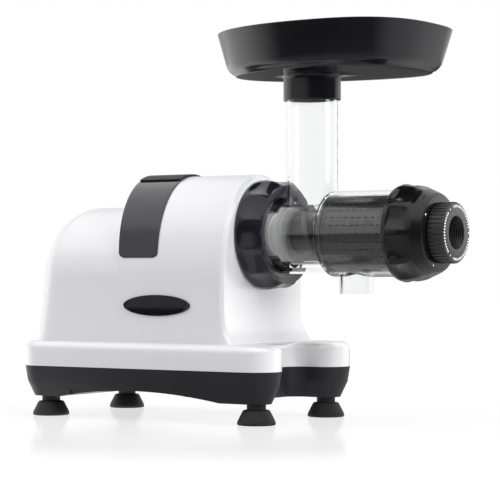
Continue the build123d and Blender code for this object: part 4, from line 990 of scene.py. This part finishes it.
def makeDial():
    d = dialSpec
    back, front = dialLow.x, dialHigh.x - d["setBack"]
    gripBack = capHigh.x + d["gap"]
    core = d["radius"] - d["ribRise"]
    outline = [(gripBack, d["shank"]), (gripBack, core - 0.6), (gripBack + 0.5, core),
               (front - 1.3, core), (front - 0.5, core - 0.5), (front, core - 1.4),
               (front, d["bore"] + 0.6), (front - 0.5, d["bore"])]
    for k in range(d["threads"] * 4 + 1):      # thread lines inside the mouth
        x = front - 0.8 - d["boreLength"] * k / (d["threads"] * 4)
        outline.append((x, d["bore"] + d["threadDepth"] * 0.5 * (1 - cos(tau * k / 4))))
    roomEnd = back + d["roomLength"]
    outline += [(roomEnd, d["bore"]), (roomEnd, d["nozzleRoom"])]
    outline += [(back, d["nozzleRoom"]), (back, d["shank"])]
    knob = turnedPiece("dialCore", outline, dialPlastic, d["steps"])
    rib = []
    ribLine = [(gripBack + 0.3, 0.0), (gripBack + 0.6, 0.55), (gripBack + 1.3, 0.9), (front - 2.0, 0.9),
               (front - 1.0, 0.6), (front - 0.55, 0.0)]
    sides = d["ribSides"]
    for x, share in ribLine:
        reach = d["ribRadius"] * share
        for k in range(sides):
            turn = tau * k / sides
            rib.append((x, reach * d["ribDepth"] * cos(turn), reach * sin(turn)))
    master = addPiece("ribMaster", rib, gridFaces(len(ribLine), sides, wrapColumns=True), dialPlastic)
    master.data.transform(Matrix.Rotation(radians(-90), 4, "X"))
    seat = core - d["ribSink"]
    turns = [tau * k / d["ribs"] for k in range(d["ribs"])]
    seats = [(0, seat * cos(turn), axisZ + seat * sin(turn)) for turn in turns]
    ribs = addPiece("dialRibs", seats, [], dialPlastic)
    runTree(ribs, copiesTree, {"Master": master, "Material": dialPlastic, "Align": False})
    bpy.data.objects.remove(master)
    whole = bmesh.new()
    whole.from_mesh(knob.data)
    whole.from_mesh(ribs.data)
    mesh = bpy.data.meshes.new("dialKnob")
    whole.to_mesh(mesh)
    whole.free()
    mesh.materials.append(dialPlastic)
    softenMesh(mesh, 35)
    dial = bpy.data.objects.new("dialKnob", mesh)
    scene.collection.objects.link(dial)
    for piece in (knob, ribs):
        bpy.data.objects.remove(piece)
    return place(dial, "dial_knob", "black_plastic", "dial")


# ink in short ticks round the drum axis
def makeTickInk():
    count, share = dialSpec["ticks"], dialSpec["tickShare"]
    material = makeFinish("tickWhite", (0.85, 0.85, 0.85), 0.45, drift=0.02)
    tree = material.node_tree
    parts = objectParts(material)
    turn = mathNode(tree, "ARCTAN2", mathNode(tree, "SUBTRACT", parts["Z"], axisZ * mm), parts["Y"])
    step = mathNode(tree, "MULTIPLY", turn, count / tau)
    phase = mathNode(tree, "FRACT", mathNode(tree, "ADD", step, 2 * count + share / 2))
    blendColour(material, mathNode(tree, "GREATER_THAN", phase, share), dialSpec["tickGap"])
    return material


makeDial()
roundedCopy("dial_marks", "dialMarks", makeTickInk(), "white_mark")
roundedCopy("cap_marks", "capMarks", markWhite, "white_mark")
roundedCopy("pulp_nozzle", "pulpNozzle", capPlastic, "black_plastic")
print("end cap and dial ready")


# hopper: an egg-shaped tray with a sleeve that drops over the feed tube
hopperSpec = {
    "waistX": 105.0, "rearPower": 2.0, "frontPower": 2.75, "floorZ": 310.5, "wall": 2.5, "steps": 192,
    "outside": ((18.5, 0.0), (17.3, 0.05), (16.6, 0.4), (16.2, 1.2), (13.4, 2.6), (10.9, 4.9), (9.1, 7.5),
                (8.2, 10.0), (5.4, 19.5), (2.0, 31.5), (0.35, 37.2), (0.1, 38.0), (0.5, 38.5)),
    "inside": ((2.1, 38.5), (2.5, 38.2), (3.0, 36.9), (5.2, 31.5), (7.9, 19.5), (10.6, 8.9), (12.2, 6.2),
               (14.2, 4.2), (16.4, 3.0), (19.0, 2.5)),    # inset from the rim and height over the floor
    "tubeX": 65.5, "mouth": (43.5, 31.5), "bore": (49.7, 37.7), "sleeve": (54.5, 42.5),
    "fillet": ((4.0, 0.0), (1.6, 0.5), (0.5, 1.7), (0.0, 4.0)),    # depth under the floor and growth
}


# the tray's egg-shaped outline, drawn in by an inset
def hopperLoop(inset, z):
    h = hopperSpec
    loop = []
    for k in range(h["steps"]):
        turn = tau * (k + 0.5) / h["steps"]
        c, s = cos(turn), sin(turn)
        power = h["frontPower"] if c > 0 else h["rearPower"]
        reach = (hopperHigh.x - h["waistX"] if c > 0 else h["waistX"] - hopperLow.x) - inset
        x = (1 if c > 0 else -1) * abs(c)**(2 / power) * reach
        y = (1 if s > 0 else -1) * abs(s)**(2 / power) * (hopperHigh.y - inset)
        loop.append((h["waistX"] + x, y, z))
    return loop


# an oval about the feed tube with its points in line with the tray's outline
def tubeLoop(size, z, grow=0.0):
    tubeX, length, width = hopperSpec["tubeX"], size[0] + grow, size[1] + grow
    loop = []
    for x, y, _ in hopperLoop(0, z):
        turn = atan2(y / width, (x - tubeX) / length)
        loop.append((tubeX + length / 2 * cos(turn), width / 2 * sin(turn), z))
    return loop


def between(loopA, loopB, share):
    return [tuple(a + (b - a) * share for a, b in zip(p, q)) for p, q in zip(loopA, loopB)]


# outline loops in turn: up the outside, down the inside, down the socket's bore and up its sleeve
def makeHopper():
    h = hopperSpec
    floor, low, fifths = h["floorZ"], hopperLow.z, (0.2, 0.4, 0.6, 0.8)
    loops = [hopperLoop(inset, floor + up) for inset, up in h["outside"] + h["inside"]]
    innerFloor, mouthTop = loops[-1], tubeLoop(h["mouth"], floor + h["wall"], 3)
    loops += [between(innerFloor, mouthTop, share) for share in (*fifths, 1.0)]
    loops.append(tubeLoop(h["mouth"], floor + h["wall"] - 0.6, 0.8))
    loops.append(tubeLoop(h["mouth"], floor + h["wall"] - 1.6))
    loops.append(tubeLoop(h["mouth"], floor))
    loops.append(tubeLoop(h["bore"], floor))
    loops.append(tubeLoop(h["bore"], low + 0.5))
    loops.append(tubeLoop(h["bore"], low, 0.8))
    loops.append(tubeLoop(h["sleeve"], low, -1.0))
    loops.append(tubeLoop(h["sleeve"], low + 0.6))
    loops += [tubeLoop(h["sleeve"], floor - down, grow) for down, grow in h["fillet"]]
    sleeveTop, underFloor = loops[-1], loops[0]
    loops += [between(sleeveTop, underFloor, share) for share in fifths]
    points = [p for loop in loops for p in loop]
    faces = gridFaces(len(loops), h["steps"], wrapColumns=True, wrapRows=True)
    tray = addPiece("hopperTray", points, faces, hopperPlastic, crease=38)
    return place(tray, "hopper", "hopper_black", "hopper_tray")


makeHopper()
print("hopper ready")


roundedCopy("switch_housing", "switchHousing", switchPlastic, "switch_black")
roundedCopy("switch_rocker", "switchRocker", switchPlastic, "switch_black")
roundedCopy("power_inlet", "powerInlet", switchPlastic, "black_plastic")
roundedCopy("drum_socket", "drumSocket", castAluminium, "black_plastic")
roundedCopy("drum_seal", "drumSeal", siliconeSeal, "seal_silicone")
roundedCopy("cap_seal", "capSeal", siliconeSeal, "seal_silicone")

innerFinishes = {
    brightSteel: ("auger_drive", "output_shaft", "layshaft", "motor_shaft", "layshaft_bearings",
                  "output_bearings", "motor_bearings", "first_gear", "motor_pinion", "second_pinion"),
    screwSteel: ("foot_screws", "base_screws", "socket_screws", "gearbox_screws", "motor_bolts"),
    castAluminium: ("gearbox_housing", "gearbox_cover", "motor_bracket_rear", "motor_bracket_front",
                    "chassis_plate"),
    laminatedSteel: ("motor_stator", "motor_rotor"),
    copperWire: ("motor_windings",),
    nylonGear: ("output_gear", "motor_fan"),
    siliconeSeal: ("output_seal",),
    capacitorCan: ("capacitor",),
    terminalPlastic: ("terminal_block",),
}
for finish, names in innerFinishes.items():
    for name in names:
        mesh = frame["nodes"][name].data
        mesh.materials.clear()
        mesh.materials.append(finish)
print("inner parts dressed")


# studio: a pale floor and a white sky; reflections see a dim room with soft panels and a pale table
studio = {
    "floorHalf": 6.0, "floorZ": -0.3, "floorColour": 0.70, "floorRoughness": 0.12, "floorSpecular": 0.5,
    "glowLevel": 1.15, "glowNear": 0.30, "glowFar": 0.55,    # plain white away from the machine
    "glowShare": 0.6,
    "tableNear": 0.25, "tableFar": 0.8, "tableGlow": 0.4, "tableDim": 0.06,
    "tableGlares": (    # direction, start and end of its edge as a cosine, level
        ((-1.0, 0.1, 0.0), 0.60, 0.95, 1.7),
        ((0.84, 0.54, 0.0), 0.35, 0.85, 0.75),
    ),
    "skyLight": 0.46,
    "room": ((-0.10, 0.08), (0.0, 0.08), (0.12, 0.10), (0.45, 0.28), (0.62, 1.4), (1.0, 1.6)),
    "panels": (    # direction, start and end of its edge as a cosine, level
        ((-0.20, 0.98, 0.0), 0.40, 0.72, 0.95),
        ((-0.98, 0.10, 0.17), 0.72, 0.97, 1.6),
        ((0.54, 0.84, 0.05), 0.80, 0.95, 1.7),
        ((-0.52, -0.75, 0.40), 0.70, 0.93, 0.8),
    ),
    "lamps": (    # name, place, aim, size, power
        ("keyTop", (0.0, 0.1, 1.9), (-0.05, 0.0, 0.15), 1.4, 12),
        ("fillFront", (2.2, -0.2, 0.9), (0.0, 0.0, 0.15), 1.2, 51),
        ("fillLeft", (-2.0, -1.3, 1.3), (-0.1, 0.0, 0.12), 1.2, 30),
    ),
}


# raises a level to that of each glare, by how nearly the direction faces it
def addGlares(tree, direction, level, glares):
    for facing, start, end, strength in glares:
        towards = tree.nodes.new("ShaderNodeVectorMath")
        towards.operation = "DOT_PRODUCT"
        towards.inputs[1].default_value = facing
        tree.links.new(direction, towards.inputs[0])
        glare = rangeNode(tree.nodes, tree.links, towards.outputs["Value"], start, end, 0, strength)
        level = mathNode(tree, "MAXIMUM", level, glare)
    return level


# white to the eye and shaded where light falls; reflections and clear parts see a dimmer round table
def makeFloor():
    half = studio["floorHalf"] / mm
    material = bpy.data.materials.new("studioFloor")
    material.use_nodes = True
    nodes, links = material.node_tree.nodes, material.node_tree.links
    shader = nodes["Principled BSDF"]
    shader.inputs["Base Color"].default_value = (*[studio["floorColour"]] * 3, 1)
    shader.inputs["Roughness"].default_value = studio["floorRoughness"]
    shader.inputs["Specular IOR Level"].default_value = studio["floorSpecular"]
    glow = nodes.new("ShaderNodeEmission")
    glow.inputs["Strength"].default_value = studio["glowLevel"]
    coords = nodes.new("ShaderNodeTexCoord")
    away = nodes.new("ShaderNodeVectorMath")
    away.operation = "LENGTH"
    links.new(coords.outputs["Object"], away.inputs[0])
    share = rangeNode(nodes, links, away.outputs["Value"], studio["glowNear"], studio["glowFar"],
                      studio["glowShare"], 1.0)
    looking = lightPath(nodes, links, "Is Camera Ray", "Is Transmission Ray")
    seen = mathNode(material.node_tree, "MULTIPLY", looking, share)
    shown = mixShaders(nodes, links, seen, shader.outputs[0], glow.outputs[0])
    heading = nodes.new("ShaderNodeVectorMath")
    heading.operation = "NORMALIZE"
    links.new(coords.outputs["Object"], heading.inputs[0])
    level = rangeNode(nodes, links, away.outputs["Value"], studio["tableNear"], studio["tableFar"],
                      studio["tableGlow"], studio["tableDim"])
    level = addGlares(material.node_tree, heading.outputs["Vector"], level, studio["tableGlares"])
    table = nodes.new("ShaderNodeEmission")
    links.new(level, table.inputs["Strength"])
    mirrored = lightPath(nodes, links, "Is Glossy Ray")
    surface = mixShaders(nodes, links, mirrored, shown, table.outputs[0])
    links.new(surface, nodes["Material Output"].inputs["Surface"])
    material.cycles.emission_sampling = "NONE"
    square = ((-half, -half), (half, -half), (half, half), (-half, half))
    points = [(x, y, studio["floorZ"]) for x, y in square]
    addPiece("studioFloor", points, [(0, 1, 2, 3)], material, recalc=False)


def makeWorld():
    world = bpy.data.worlds.new("studioWorld")
    scene.world = world
    world.cycles.sampling_method = "NONE"
    world.use_nodes = True
    nodes, links = world.node_tree.nodes, world.node_tree.links
    sky = nodes["Background"]
    sky.inputs["Strength"].default_value = studio["skyLight"]
    sky.inputs["Color"].default_value = (1, 1, 1, 1)
    white = nodes.new("ShaderNodeBackground")
    white.inputs["Color"].default_value = (1, 1, 1, 1)
    mirrored = nodes.new("ShaderNodeBackground")
    coords = nodes.new("ShaderNodeTexCoord")
    parts = nodes.new("ShaderNodeSeparateXYZ")
    links.new(coords.outputs["Generated"], parts.inputs[0])
    levels = nodes.new("ShaderNodeFloatCurve")
    curve = levels.mapping.curves[0]
    for number, (height, level) in enumerate(studio["room"]):
        if number < 2:
            curve.points[number].location = ((height + 1) / 2, level / 2)
        else:
            curve.points.new((height + 1) / 2, level / 2)
    levels.mapping.update()
    links.new(rangeNode(nodes, links, parts.outputs["Z"], -1, 1), levels.inputs["Value"])
    level = rangeNode(nodes, links, levels.outputs["Value"], 0, 1, 0, 2)
    level = addGlares(world.node_tree, coords.outputs["Generated"], level, studio["panels"])
    links.new(level, mirrored.inputs["Strength"])
    glossy = lightPath(nodes, links, "Is Glossy Ray")
    lit = mixShaders(nodes, links, glossy, sky.outputs[0], mirrored.outputs[0])
    seen = lightPath(nodes, links, "Is Camera Ray", "Is Transmission Ray")
    surface = mixShaders(nodes, links, seen, lit, white.outputs[0])
    links.new(surface, nodes["World Output"].inputs["Surface"])


def makeLamps():
    for name, spot, aim, size, power in studio["lamps"]:
        data = bpy.data.lights.new(name, "AREA")
        data.size = size
        data.energy = power
        lamp = bpy.data.objects.new(name, data)
        lamp.location = spot
        lamp.visible_glossy = False
        lamp.rotation_euler = (Vector(aim) - Vector(spot)).to_track_quat("-Z", "Y").to_euler()
        scene.collection.objects.link(lamp)


makeFloor()
makeWorld()
makeLamps()
scene.view_settings.view_transform = "Standard"
print("studio ready")
